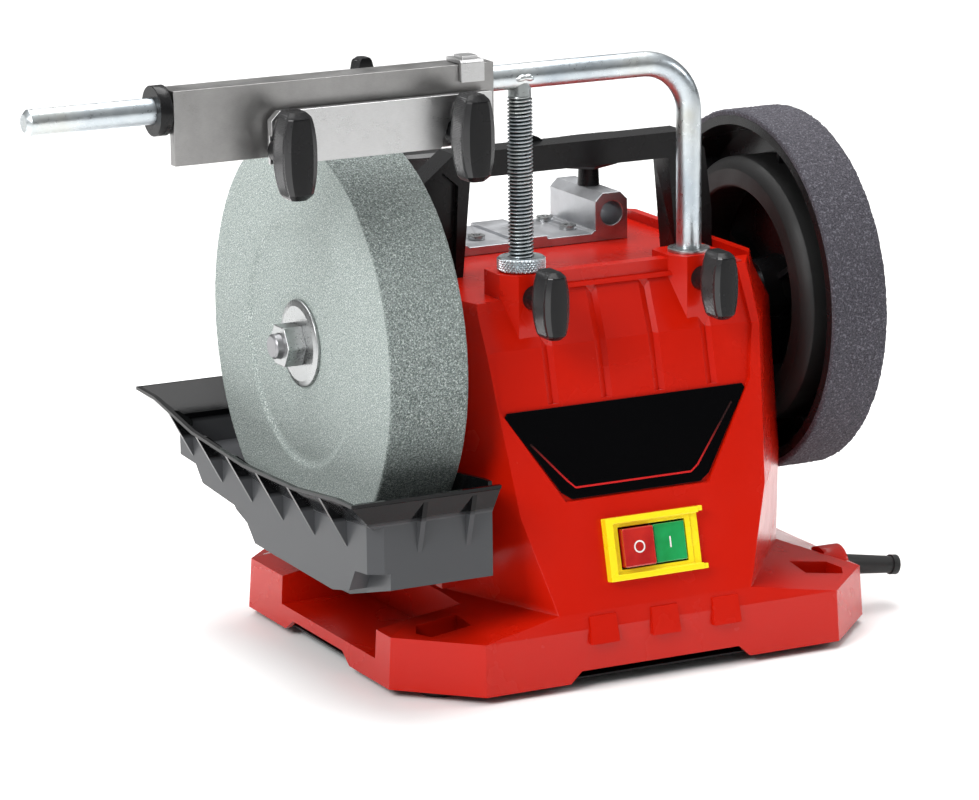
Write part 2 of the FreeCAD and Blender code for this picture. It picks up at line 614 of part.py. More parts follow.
def jig_stop():
    top = BAR_Z + 9.5
    z1 = top + 2.2
    section = [(JIG_FACE_Y - 2.6, top - 8), (JIG_FACE_Y - 0.4, top - 8), (JIG_FACE_Y - 0.4, top + 0.3),
               (LEG_Y + 4, top + 0.3), (LEG_Y + 4, z1), (JIG_FACE_Y - 1.4, z1), (JIG_FACE_Y - 2.6, z1 - 1.2)]
    tongue = box(-84, -76, JIG_FACE_Y, LEG_Y, top + 0.3, z1 + 1.5)
    return prism_yz(section, -86, -74).fuse(tongue).removeSplitter()


def jig_lock_knob():
    knob = wing_knob(10, 11, 24, 4.5, 3.5)
    knob.rotate(V(0, 0, 0), Z_DIR, 180)
    screw_tip = BAR_R + 0.3
    knob = knob.fuse(rod(3.0, V(0, 1 - (JIG_BACK - screw_tip), 0), Y_DIR, JIG_BACK - screw_tip))
    knob.translate(V(JIG_LOCK_X, LEG_Y + JIG_BACK + 0.2, BAR_Z))
    return knob.removeSplitter()


# ---- stone side of the shaft --------------------------------------------------------
def grinding_stone():
    x0, x1 = STONE_X, STONE_X + STONE_WIDTH
    return revolve_x([(x0 + STONE_RECESS, SHAFT_R), (x0 + STONE_RECESS, STONE_RECESS_R), (x0, STONE_RECESS_R + 3),
                      (x0, STONE_R - 1.0), (x0 + 1.0, STONE_R), (x1 - 1.0, STONE_R), (x1, STONE_R - 1.0),
                      (x1, SHAFT_R)])


def inner_flange():
    x = STONE_X + STONE_WIDTH
    return revolve_x([(x, SHAFT_R), (x, 25), (x + 2.5, 25), (x + 3.5, 20), (x + 3.5, SHAFT_R)])


def stone_washer():
    x = STONE_X + STONE_RECESS
    return revolve_x([(x, SHAFT_R), (x, 21), (x - 1.6, 21), (x - 2.5, 18), (x - 2.5, SHAFT_R)])


def shaft_nut(x, towards):
    nut = hexagon(19, V(x, 0, SHAFT_Z), V(towards, 0, 0), 9.5)
    return nut.cut(rod(SHAFT_R, V(x - 20, 0, SHAFT_Z), X_DIR, 40))


def main_shaft():
    step_left, step_right = STONE_X + STONE_WIDTH, HONING_X + 6
    left_end, right_end = STONE_X - 14.5, HONING_X + HONING_WIDTH + 8
    return revolve_x([(left_end, 0), (left_end, SHAFT_R - 1), (left_end + 1, SHAFT_R), (step_left + 3.5, SHAFT_R),
                      (step_left + 3.5, JOURNAL_R), (step_right, JOURNAL_R), (step_right, SHAFT_R),
                      (right_end - 1, SHAFT_R), (right_end, SHAFT_R - 1), (right_end, 0)])


def shaft_bush(x, length, flange_x):
    bush = tube(11.0, JOURNAL_R + 0.03, V(x, 0, SHAFT_Z), X_DIR, length)
    return bush.fuse(tube(13.5, JOURNAL_R + 0.03, V(flange_x, 0, SHAFT_Z), X_DIR, 1.5)).removeSplitter()


# ---- honing side of the shaft -------------------------------------------------------
def honing_drum():
    x0, x1 = HONING_X, HONING_X + HONING_WIDTH
    rim_r = HONING_R - BELT_T
    web_x = x1 - 8.5
    drum = revolve_x([(x0, 82.5), (x0, rim_r), (x1, rim_r), (x1, 82.0), (web_x + 3.5, 80.0), (web_x + 3.5, 16.0),
                      (x1 - 1.0, 14.0), (x1 - 1.0, SHAFT_R), (x0 + 6, SHAFT_R), (x0 + 6, 14.0), (web_x, 16.0),
                      (web_x, 81.0)])
    ribs = []
    for i in range(6):
        rib = box(web_x - 9, web_x + 1, -1.4, 1.4, RING_OUTER_R + 0.5, 84)
        rib.rotate(V(0, 0, 0), X_DIR, 60 * i + 12)
        rib.translate(V(0, 0, SHAFT_Z))
        ribs.append(rib)
    for i in range(3):
        rib = box(web_x - 8, web_x + 1, -1.4, 1.4, 10, 40)
        rib.rotate(V(0, 0, 0), X_DIR, 120 * i + 60)
        rib.translate(V(0, 0, SHAFT_Z))
        ribs.append(rib)
    marks = []
    for i in range(3):
        mark = tube(4.0, 2.8, V(web_x - 0.8, 0, 74.5), X_DIR, 1.5)
        mark.rotate(V(0, 0, 0), X_DIR, 120 * i + 30)
        mark.translate(V(0, 0, SHAFT_Z))
        marks.append(mark)
    drum = fuse([drum] + ribs + marks)
    for at in ring_screw_points(web_x - 1):
        drum = drum.cut(rod(2.0, at, X_DIR, 6))
    return drum.removeSplitter()


def ring_screw_points(x):
    points = []
    for i in range(3):
        angle = math.radians(120 * i + 17)
        points.append(V(x, -43.5 * math.sin(angle), SHAFT_Z + 43.5 * math.cos(angle)))
    return points


def drive_ring():
    x0 = HONING_X - 2.0
    x1 = HONING_X + HONING_WIDTH - 8.5
    ring = revolve_x([(x0, RING_INNER_R + 1.0), (x0, RING_OUTER_R - 6.0), (x0 + 1.2, RING_OUTER_R - 3.0),
                      (x0 + 4.5, RING_OUTER_R), (x1, RING_OUTER_R), (x1, RING_INNER_R), (x0 + 1.0, RING_INNER_R)])
    lugs = []
    for at in ring_screw_points(x1 - 5):
        lug = rod(7.0, at, X_DIR, 5)
        radial = V(0, at.y, at.z - SHAFT_Z)
        radial.normalize()
        side = V(0, -radial.z, radial.y)
        inner, outer = at - side * 7, at + side * 7
        web = prism([inner, outer, outer + radial * 9.5, inner + radial * 9.5], V(5, 0, 0))
        lugs += [lug, web]
    ring = fuse([ring] + lugs)
    for at in ring_screw_points(x1 - 6):
        ring = ring.cut(rod(2.0, at, X_DIR, 8))
    return ring


def ring_screws():
    x = HONING_X + HONING_WIDTH - 8.5 - 5
    return group([screw(3.8, 2.2, 1.95, 8.3, at, X_DIR, 1.8) for at in ring_screw_points(x)])


def honing_belt():
    x0, x1 = HONING_X, HONING_X + HONING_WIDTH
    return revolve_x([(x0, HONING_R - BELT_T), (x0, HONING_R - 0.5), (x0 + 0.5, HONING_R), (x1 - 0.5, HONING_R),
                      (x1, HONING_R - 0.5), (x1, HONING_R - BELT_T)])


def drum_washer():
    x = HONING_X + HONING_WIDTH - 1.0
    return revolve_x([(x, SHAFT_R), (x, 12), (x + 1.5, 12), (x + 1.5, SHAFT_R)])


# ---- motor --------------------------------------------------------------------------
def motor_axis(x):
    return V(x, 0, MOTOR_Z)


def motor_stator():
    stack = tube(36.0, 22.5, motor_axis(STATOR_X0), X_DIR, STATOR_X1 - STATOR_X0)
    for i in range(4):
        flat = box(STATOR_X0 - 1, STATOR_X1 + 1, -12, 12, 34.5, 40)
        flat.rotate(V(0, 0, 0), X_DIR, 45 + 90 * i)
        flat.translate(V(0, 0, MOTOR_Z))
        stack = stack.cut(flat)
    return stack


def motor_windings():
    return group([tube(33.0, 24.0, motor_axis(x), X_DIR, 9) for x in (STATOR_X0 - 9, STATOR_X1)])


def end_bell(x_open, x_closed):
    """Cup with its mouth against the stator and a bearing seat in its floor."""
    towards = 1 if x_closed > x_open else -1
    depth = abs(x_closed - x_open)
    axis = V(towards, 0, 0)
    cup = rod(BELL_R, motor_axis(x_open), axis, depth)
    cup = cup.cut(rod(BELL_R - 2.5, motor_axis(x_open), axis, depth - 3))
    seat = rod(11, motor_axis(x_closed), axis * -1, 8)
    cup = cup.fuse(seat).cut(rod(4.0 + FIT, motor_axis(-100), X_DIR, 300))
    for at in motor_mount_points(x_closed - towards * 5):
        cup = cup.cut(rod(2.0, at, axis, 10))
    for i in range(6):
        slot = rod(4.0, V(x_closed - towards * 5, 0, 21), axis, 10)
        slot.rotate(V(0, 0, 0), X_DIR, 60 * i)
        slot.translate(V(0, 0, MOTOR_Z))
        cup = cup.cut(slot)
    return cup.removeSplitter()


def rotor_shaft():
    return rod(4.0, motor_axis(0.0), X_DIR, HONING_X + 14.0)


def rotor_core():
    core = tube(22.2, 4.0, motor_axis(STATOR_X0 + 1), X_DIR, STATOR_X1 - STATOR_X0 - 2)
    return core


def cooling_fan():
    hub = tube(8, 4.0, motor_axis(3.0), X_DIR, 9)
    disc = tube(28, 4.0, motor_axis(10.5), X_DIR, 1.5)
    blades = []
    for i in range(8):
        blade = box(3.0, 11.0, -0.8, 0.8, 7, 27)
        blade.rotate(V(0, 0, 0), X_DIR, 45 * i)
        blade.translate(V(0, 0, MOTOR_Z))
        blades.append(blade)
    return fuse([hub, disc] + blades)


def drive_roller():
    return tube(ROLLER_R, 4.0, motor_axis(HONING_X - 1.0), X_DIR, 15)


def motor_mount_points(x):
    angles = (30.0, 150.0, 270.0)
    turns = [math.radians(a) for a in angles]
    return [motor_axis(x) + V(0, 30 * math.cos(a), 30 * math.sin(a)) for a in turns]


def motor_plate():
    """Carrier inside the right wall, seen through the motor opening, with three stand-offs."""
    inner_x = HOUSING_RIGHT_X - 2 * WALL
    plate = box(inner_x, inner_x + WALL, -34, 36, 60, 143.0)
    plate = plate.cut(rod(16, V(90, 0, SHAFT_Z), X_DIR, 20))
    for at in motor_mount_points(BELL_FACE_X):
        plate = plate.fuse(rod(5.0, at, X_DIR, inner_x - BELL_FACE_X + 1))
    plate = plate.fuse(tube(12, 7.5, motor_axis(inner_x), X_DIR, WALL + 2))
    plate = plate.cut(rod(7.5, motor_axis(90), X_DIR, 30))
    for at in motor_mount_points(80):
        plate = plate.cut(rod(2.0, at, X_DIR, 30))
    for y, z in PLATE_SCREWS:
        plate = plate.cut(rod(2.0, V(90, y, z), X_DIR, 20))
    return plate.removeSplitter()


def plate_screws():
    outer = [screw(3.6, 2.0, 1.95, 5.8, V(HOUSING_RIGHT_X, y, z), V(-1, 0, 0), 1.8) for y, z in PLATE_SCREWS]
    face_x = HOUSING_RIGHT_X - WALL
    return group(outer + [screw(3.4, 2.0, 1.95, 11, at, V(-1, 0, 0), 1.8) for at in motor_mount_points(face_x)])


def capacitor():
    can = rod(15, V(-62, 40, 60), X_DIR, 55)
    tabs = [box(-7, 0, y - 1, y + 1, 57, 63) for y in (34.0, 46.0)]
    return fuse([can] + tabs)


def capacitor_clip():
    clip = tube(16.5, 15, V(-42, 40, 60), X_DIR, 14)
    strut = box(-42, -28, 36, 44, 6.0, 44.5)
    return clip.fuse(strut).cut(rod(15, V(-62, 40, 60), X_DIR, 55)).removeSplitter()


# ---- cable outlet -------------------------------------------------------------------
def cable_gland():
    inside = BASE_HALF_X - WALL - 7
    gland = tube(GLAND_R, 4.0, V(inside, GLAND_Y, GLAND_Z), X_DIR, BASE_HALF_X - inside)
    return gland.fuse(tube(GLAND_R + 1.5, 4.0, V(BASE_HALF_X, GLAND_Y, GLAND_Z), X_DIR, 1.5)).removeSplitter()


def cable_boot():
    inside = BASE_HALF_X - WALL - 7
    droop = V(0.99, 0, -0.141)
    sleeve = cone(5.2, 4.2, V(BASE_HALF_X, GLAND_Y, GLAND_Z), droop, 32)
    lip = rod(5.0, V(BASE_HALF_X, GLAND_Y, GLAND_Z) + droop * 30, droop, 3.5)
    root = rod(4.0, V(inside, GLAND_Y, GLAND_Z), X_DIR, BASE_HALF_X - inside + 1.5)
    body = fuse([sleeve, lip, root])
    body = body.cut(tube(20, 4.0, V(100, GLAND_Y, GLAND_Z), X_DIR, BASE_HALF_X + 1.5 - 100))
    return body.cut(rod(3.2, V(BASE_HALF_X, GLAND_Y, GLAND_Z) + droop * 20, droop, 20))


# ---- water trough -------------------------------------------------------------------


def trough_ledge(t):
    """Side view of the stepped outer ledge; t moves it inwards for the inside."""
    return [(TROUGH_Y0 + t, 90), (TROUGH_Y0 + t, 70 + t), (-93 + t, 68 + t), (-86 + t, 57 + t),
            (-68 + t, 53 + t), (20 - t, 54 + t), (34 - t, 67 + t), (82 - t, 70 + t), (90 - t, 78 + t), (TROUGH_Y1 - t, 79 + t),
            (TROUGH_Y1 - t, 90)]


def trough_tub(t):
    """Side view of the deep part, which clears the stone all along."""
    return [(TROUGH_Y0 + t, 90), (TROUGH_Y0 + t, 62 + t), (-68 + t, 49.5 + t), (-20, 47.5 + t), (20, 47.5 + t),
            (62 - t, 60 + t), (89 - t, 79 + t), (TROUGH_Y1 - t, 80 + t), (TROUGH_Y1 - t, 90)]


def trough_upper(t):
    """Upright walls above the ledge, with the two corners away from the housing cut off."""
    x0, x1, y0, y1, corner = TROUGH_X0 + t, TROUGH_X1 - t, TROUGH_Y0 + t, TROUGH_Y1 - t, 6.0
    plan = [(x0 + corner, y0), (x1, y0), (x1, y1), (x0 + corner, y1), (x0, y1 - corner), (x0, y0 + corner)]
    return prism([V(x, y, 84) for x, y in plan], V(0, 0, 40)), plan


def trough_bowl(t):
    upper, plan = trough_upper(t)
    ledge = prism_yz(trough_ledge(t), TROUGH_X0 + t, LEDGE_X + 1 + t)
    ledge = ledge.common(prism([V(x, y, 40) for x, y in plan], V(0, 0, 60)))
    return fuse([upper, ledge, prism_yz(trough_tub(t), LEDGE_X + t, TROUGH_X1 - t)])


def flare_section(edge, outward, reach, z):
    """Section of the flared lip: distances from the wall's outer face, and heights."""
    inner = edge - outward * TROUGH_T
    return [(inner, z - FLARE_DROP), (inner, z - FLARE_DROP - 3), (edge, z - FLARE_DROP - 2),
            (edge + outward * reach, z - 2.2), (edge + outward * (reach + 1.2), z - 1.6),
            (edge + outward * (reach + 1.2), z), (edge + outward * (reach - 1.0), z)]


def trough_flare():
    """Lip along the outer side and both ends, mitred at the corners."""
    reach_x, reach_y = TROUGH_X0 - TROUGH_RIM_X0, 8.5
    wires = []
    for y, z in TROUGH_RIM:
        corners = [V(x, y, h) for x, h in flare_section(TROUGH_X0, -1, reach_x, z)]
        wires.append(Part.makePolygon(corners + [corners[0]]))
    side = Part.makeLoft(wires, True, True)
    front = prism_yz(flare_section(TROUGH_Y0, -1, reach_y, TROUGH_RIM[0][1]), -168, TROUGH_X1)
    rear = prism_yz(flare_section(TROUGH_Y1, 1, reach_y + 4.0, TROUGH_RIM[-1][1]), -168, TROUGH_X1)
    inner_x, outer_x = TROUGH_X0 + TROUGH_T, TROUGH_RIM_X0 - 1.2
    front_cut = [(inner_x, TROUGH_Y0 + TROUGH_T), (outer_x, TROUGH_Y0 - reach_y - 1.2), (-190, -140),
                 (-80, -140), (-80, TROUGH_Y0 + TROUGH_T)]
    rear_cut = [(inner_x, TROUGH_Y1 - TROUGH_T), (-80, TROUGH_Y1 - TROUGH_T), (-80, 150), (-190, 150),
                (outer_x, TROUGH_Y1 + reach_y + 5.2)]
    zones = [prism([V(x, y, 60) for x, y in cut], V(0, 0, 80)) for cut in (front_cut, rear_cut)]
    for zone in zones:
        side = side.cut(zone)
    return [side, front.common(zones[0]), rear.common(zones[1])]


def trough_gussets():
    """Triangular fins that stiffen the lip."""
    fins = []
    for i in range(6):
        y = -84 + 35.5 * i
        z = trough_rim_z(y)
        fins.append(prism_xz([(TROUGH_X0, z - 27), (TROUGH_X0, z - 9), (TROUGH_RIM_X0 + 6, z - 3),
                              (TROUGH_RIM_X0, z - 2)], y - 1.2, y + 1.2))
    z = TROUGH_RIM[0][1]
    for x in (-128.0, -103.0):
        fins.append(prism_yz([(TROUGH_Y0, z - 29), (TROUGH_Y0, z - 9), (TROUGH_Y0 - 5, z - 4),
                              (TROUGH_Y0 - 8.0, z - 2)], x - 1.2, x + 1.2))
    return fins


def trough_rim_z(y):
    for (y0, z0), (y1, z1) in zip(TROUGH_RIM, TROUGH_RIM[1:]):
        if y <= y1:
            return z0 + (z1 - z0) * (y - y0) / (y1 - y0)
    return TROUGH_RIM[-1][1]


def water_trough():
    tongues = []
    for y in GUIDE_Y:
        tongues.append(box(TROUGH_X1 - 0.5, -88.0, y - 4, y + 4, 66, 98))
        tongues.append(box(-88.0, -84.6, y - 8, y + 8, 66, 98))
    walls = trough_bowl(0).cut(trough_bowl(TROUGH_T))
    line = [(y, z) for y, z in TROUGH_RIM]
    above_rim = prism_yz(line + [(129, 140), (-122, 140)], -200, -80)
    above_flare = prism_yz([(y, z - FLARE_DROP - 1) for y, z in line] + [(129, 140), (-122, 140)], -200,
                           TROUGH_X1 - TROUGH_T)
    walls = walls.cut(above_rim).cut(above_flare)
    inside = trough_bowl(TROUGH_T).common(box(-200, -80, -200, 200, 40, 95))
    shell = fuse([walls] + trough_flare() + trough_gussets())
    return fuse([shell.cut(inside)] + tongues)


# ---- every node ---------------------------------------------------------------------
def all_nodes():
    nodes = {
        "housing_shell": housing_shell(),
        "bottom_cover": bottom_cover(),
        "cover_screws": cover_screws(),
        "rubber_feet": rubber_feet(),
        "label_panel": label_panel(),
        "switch_frame": switch_frame(),
        "switch_body": switch_body(),
        "stop_button": push_button(SWITCH_X - 17.2, SWITCH_X - 0.7, 5.5),
        "start_button": push_button(SWITCH_X + 0.7, SWITCH_X + 17.2, 3.0),
        "carry_handle": carry_handle(),
        "handle_screws": handle_screws(),
        "support_bracket": support_bracket(),
        "bracket_screws": bracket_screws(),
        "bracket_knob_left": bracket_knob(BRACKET_BORE_X[0]),
        "bracket_knob_right": bracket_knob(BRACKET_BORE_X[1]),
        "leg_bush_left": leg_bush(LEG_X[0], 0),
        "leg_bush_right": leg_bush(LEG_X[1], 1.6),
        "lock_knob_left": lock_knob(LEG_X[0]),
        "lock_knob_right": lock_knob(LEG_X[1]),
        "support_bar": support_bar(),
        "threaded_leg": threaded_leg(),
        "adjusting_nut": adjusting_nut(),
        "jig_bushes": jig_bushes(),
        "jig_body": jig_body(),
        "jig_studs": jig_studs(),
        "jig_clamp_plate": jig_clamp_plate(),
        "jig_knob_left": jig_knob(JIG_KNOB_X[0]),
        "jig_knob_right": jig_knob(JIG_KNOB_X[1]),
        "jig_stop": jig_stop(),
        "jig_lock_knob": jig_lock_knob(),
        "grinding_stone": grinding_stone(),
        "inner_flange": inner_flange(),
        "stone_washer": stone_washer(),
        "stone_nut": shaft_nut(STONE_X + STONE_RECESS - 2.5, -1),
        "main_shaft": main_shaft(),
        "shaft_bush_left": shaft_bush(HOUSING_LEFT_X, BUSH_LEFT_L, HOUSING_LEFT_X - 1.5),
        "shaft_bush_right": shaft_bush(HOUSING_RIGHT_X - BUSH_RIGHT_L, BUSH_RIGHT_L, HOUSING_RIGHT_X),
        "honing_drum": honing_drum(),
        "honing_belt": honing_belt(),
        "drive_ring": drive_ring(),
        "ring_screws": ring_screws(),
        "drum_washer": drum_washer(),
        "drum_nut": shaft_nut(HONING_X + HONING_WIDTH + 0.5, 1),
        "motor_stator": motor_stator(),
        "motor_windings": motor_windings(),
        "motor_bell_left": end_bell(STATOR_X0, 15.0),
        "motor_bell_right": end_bell(STATOR_X1, BELL_FACE_X),
        "rotor_shaft": rotor_shaft(),
        "rotor_core": rotor_core(),
        "cooling_fan": cooling_fan(),
        "drive_roller": drive_roller(),
        "motor_plate": motor_plate(),
        "motor_plate_screws": plate_screws(),
        "capacitor": capacitor(),
        "capacitor_clip": capacitor_clip(),
        "cable_gland": cable_gland(),
        "cable_boot": cable_boot(),
        "water_trough": water_trough(),
    }
    return nodes


def main():
    os.makedirs("parts", exist_ok=True)
    for name, shape in all_nodes().items():
        shape.exportStep("parts/" + name + ".step")
        state = "ok" if shape.isValid() else "INVALID"
        print(name, len(shape.Solids), round(shape.Volume / 1000, 2), "cm3", state)


main()
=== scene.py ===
from collections import namedtuple
import json
import math

import bmesh
import bpy
from mathutils import Matrix, Vector, noise


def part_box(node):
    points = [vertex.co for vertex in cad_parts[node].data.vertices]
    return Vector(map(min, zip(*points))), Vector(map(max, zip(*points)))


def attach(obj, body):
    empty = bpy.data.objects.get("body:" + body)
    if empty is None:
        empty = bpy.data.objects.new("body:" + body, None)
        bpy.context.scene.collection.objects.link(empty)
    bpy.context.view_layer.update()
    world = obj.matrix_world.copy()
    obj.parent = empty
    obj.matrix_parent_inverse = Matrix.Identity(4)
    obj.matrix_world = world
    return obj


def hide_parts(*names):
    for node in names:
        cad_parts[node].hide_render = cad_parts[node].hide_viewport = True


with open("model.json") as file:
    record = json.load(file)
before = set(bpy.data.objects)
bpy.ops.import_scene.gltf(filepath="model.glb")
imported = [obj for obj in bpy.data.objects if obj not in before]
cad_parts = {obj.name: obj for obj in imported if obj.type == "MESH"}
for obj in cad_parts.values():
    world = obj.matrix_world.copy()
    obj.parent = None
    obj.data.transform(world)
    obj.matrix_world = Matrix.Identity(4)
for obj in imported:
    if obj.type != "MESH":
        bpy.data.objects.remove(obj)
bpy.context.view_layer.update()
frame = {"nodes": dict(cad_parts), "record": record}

# Lengths are metres; a value in millimetres is multiplied by MM or has a name ending in _MM.
MM = 0.001
TAU = 2 * math.pi

# ---- edges ---------------------------------------------------------------------------
WELD_DISTANCE = 1e-6
DEFAULT_BEVEL_MM = 0.35
BEVEL_MM = {
    "housing_shell": 1.1, "carry_handle": 1.2, "switch_frame": 0.9, "support_bracket": 0.4,
    "water_trough": 0.5, "label_panel": 0.25, "honing_drum": 0.6, "stop_button": 0.7,
    "start_button": 0.5, "rubber_feet": 0.8, "cable_boot": 0.8, "jig_body": 0.3,
    "jig_clamp_plate": 0.45, "jig_stop": 0.4, "stone_nut": 0.5, "drum_nut": 0.5,
    "motor_plate": 0.6, "leg_bush_left": 0.4, "leg_bush_right": 0.4,
}

# ---- wing knobs ----------------------------------------------------------------------
# The wing runs from back to front along -Y, and the stem from the origin into the wing.
Wing = namedtuple("Wing", "half_thick half_high back front stem_r")
LOCK_WING = Wing(6.4 * MM, 16 * MM, -7.5 * MM, -24.4 * MM, 6 * MM)
JIG_WING = Wing(8.1 * MM, 20 * MM, -7.0 * MM, -22.9 * MM, 6.5 * MM)
BRACKET_WING = Wing(6.6 * MM, 17 * MM, -7.5 * MM, -24.4 * MM, 5.5 * MM)
JIG_LOCK_WING = Wing(4.6 * MM, 12 * MM, -3.5 * MM, -14.4 * MM, 4.5 * MM)
KNOB_DEPTH = 24.5 * MM  # from the stem's foot to the CAD knob's outer end
SMALL_KNOB_DEPTH = 14.5 * MM
KNOB_LEVELS = 104
FLANK_STEPS = 44
FRONT_STEPS = 8
STEM_STEPS = 40
KNURL_STEPS = 4  # mesh steps to one diamond of the knurl
KNURL_HEIGHT = 0.5 * MM
FLANK_INSET = 0.08  # corner at each end of a flank, as a part of the wing's depth
FRONT_CROWN = 0.9 * MM
TIP_START = 0.86  # where the tips start to slope back, as a part of the half height
TIP_SLOPE = 2.6 * MM

# ---- threaded leg, weld and nut ------------------------------------------------------
ROD_R = 6.0 * MM
ROOT_R = 4.85 * MM
PITCH = 1.75 * MM
NECK_R = 5.4 * MM
NECK_LENGTH = 9 * MM
THREAD_TAPER = 2 * MM
LEVELS_PER_PITCH = 8
THREAD_STEPS = 36
BEAD_RING_R = 6.2 * MM
BEAD_HALF_WIDE = 1.7 * MM
BEAD_HALF_HIGH = 1.5 * MM
BEAD_SADDLE = 1.6 * MM  # how far the bead climbs round the bar
WELD_STEPS = 72
BEAD_STEPS = 14
NUT_BORE_R = 6.15 * MM
NUT_STEPS = 360
NUT_ROWS = 36
NUT_POINTS = 36  # knurl points round the nut
NUT_KNURL_DEPTH = 0.75 * MM
NUT_KNURL_RISE = 2.2 * MM  # height of one knurl diamond

# ---- wheels --------------------------------------------------------------------------
STONE_R_MM = 100.0
STONE_BORE_MM = 6.05
RECESS_MM = 1.5
RECESS_R_MM = 57.0
RECESS_SLOPE_MM = 3
STONE_STEP_MM = 1.1
STONE_EDGE_MM = [(0, 1.2), (0.3, 0.45), (1.0, 0.05)]  # in from the side, down from the rim
STONE_RIM = (0.0985, 0.0995)  # the stone's running face is darker from here out
BELT_R_MM = 90.0
BELT_INNER_MM = 87.0
BELT_STEP_MM = 1.0
BELT_EDGE_MM = [(0, 1.0), (0.5, 0.3)]
EDGE_BAND_MM = 0.6  # width at the rim where the side face stays flat

# ---- trough, label and switch --------------------------------------------------------
LIP_FOOT = 0.0865  # height of the trough lip's foot at Y = 0
LIP_CURVE = 0.6  # its rise with the square of Y
FRONT_LEAN = math.atan(0.24)
LABEL_FACE_MM = 0.65
ACCENT_MARGIN = 1.2 * MM
ACCENT_WIDTH = 0.9 * MM
# X in mm, and height as a part of the label's half height less the margin
ACCENT_OUTLINE = [(-53, 0.30), (-36, -0.62), (-32, -0.80), (30, -0.80), (34, -0.66), (56, 0.66)]
ACCENT_FADE = (4 * MM, 27 * MM)  # heights above the label's lower edge
PRINT_THICK = 0.12 * MM
MARK_SIZE = 2.6 * MM
MARK_WIDTH = 0.7 * MM
MARK_STEPS = 48
BUTTON_FACE_MM = {"stop_button": 5.0, "start_button": 3.75}

# ---- studio and camera ---------------------------------------------------------------
FLOOR_HALF = 12.0
SKY_LEVELS = [(0.15, 0.15), (0.85, 0.80)]  # place on the ramp, grey level
# name, place, aim, size in metres, power in watts
LIGHTS = [
    ("key", (-1.9, -0.9, 1.5), (0, 0, 0.15), 0.9, 40),
    ("top", (0.1, 0.5, 2.1), (0, 0, 0.1), 1.8, 58),
    ("side", (1.9, -0.7, 1.0), (0, 0, 0.15), 0.5, 8),
]
CAMERA_ANGLES_DEG = (-26.783, 13.695, -0.669)  # azimuth, elevation, roll
CAMERA_AT = (-1.0160, -1.9363, 0.6404)
CAMERA_LENS_MM = 168.9
CAMERA_SENSOR_MM = 36.0
CAMERA_SHIFT = (0.0076, 0.0080)
CAMERA_CLIP_END = 60


def middle(node):
    """Centre of a CAD node's box."""
    low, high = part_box(node)
    return (low + high) / 2


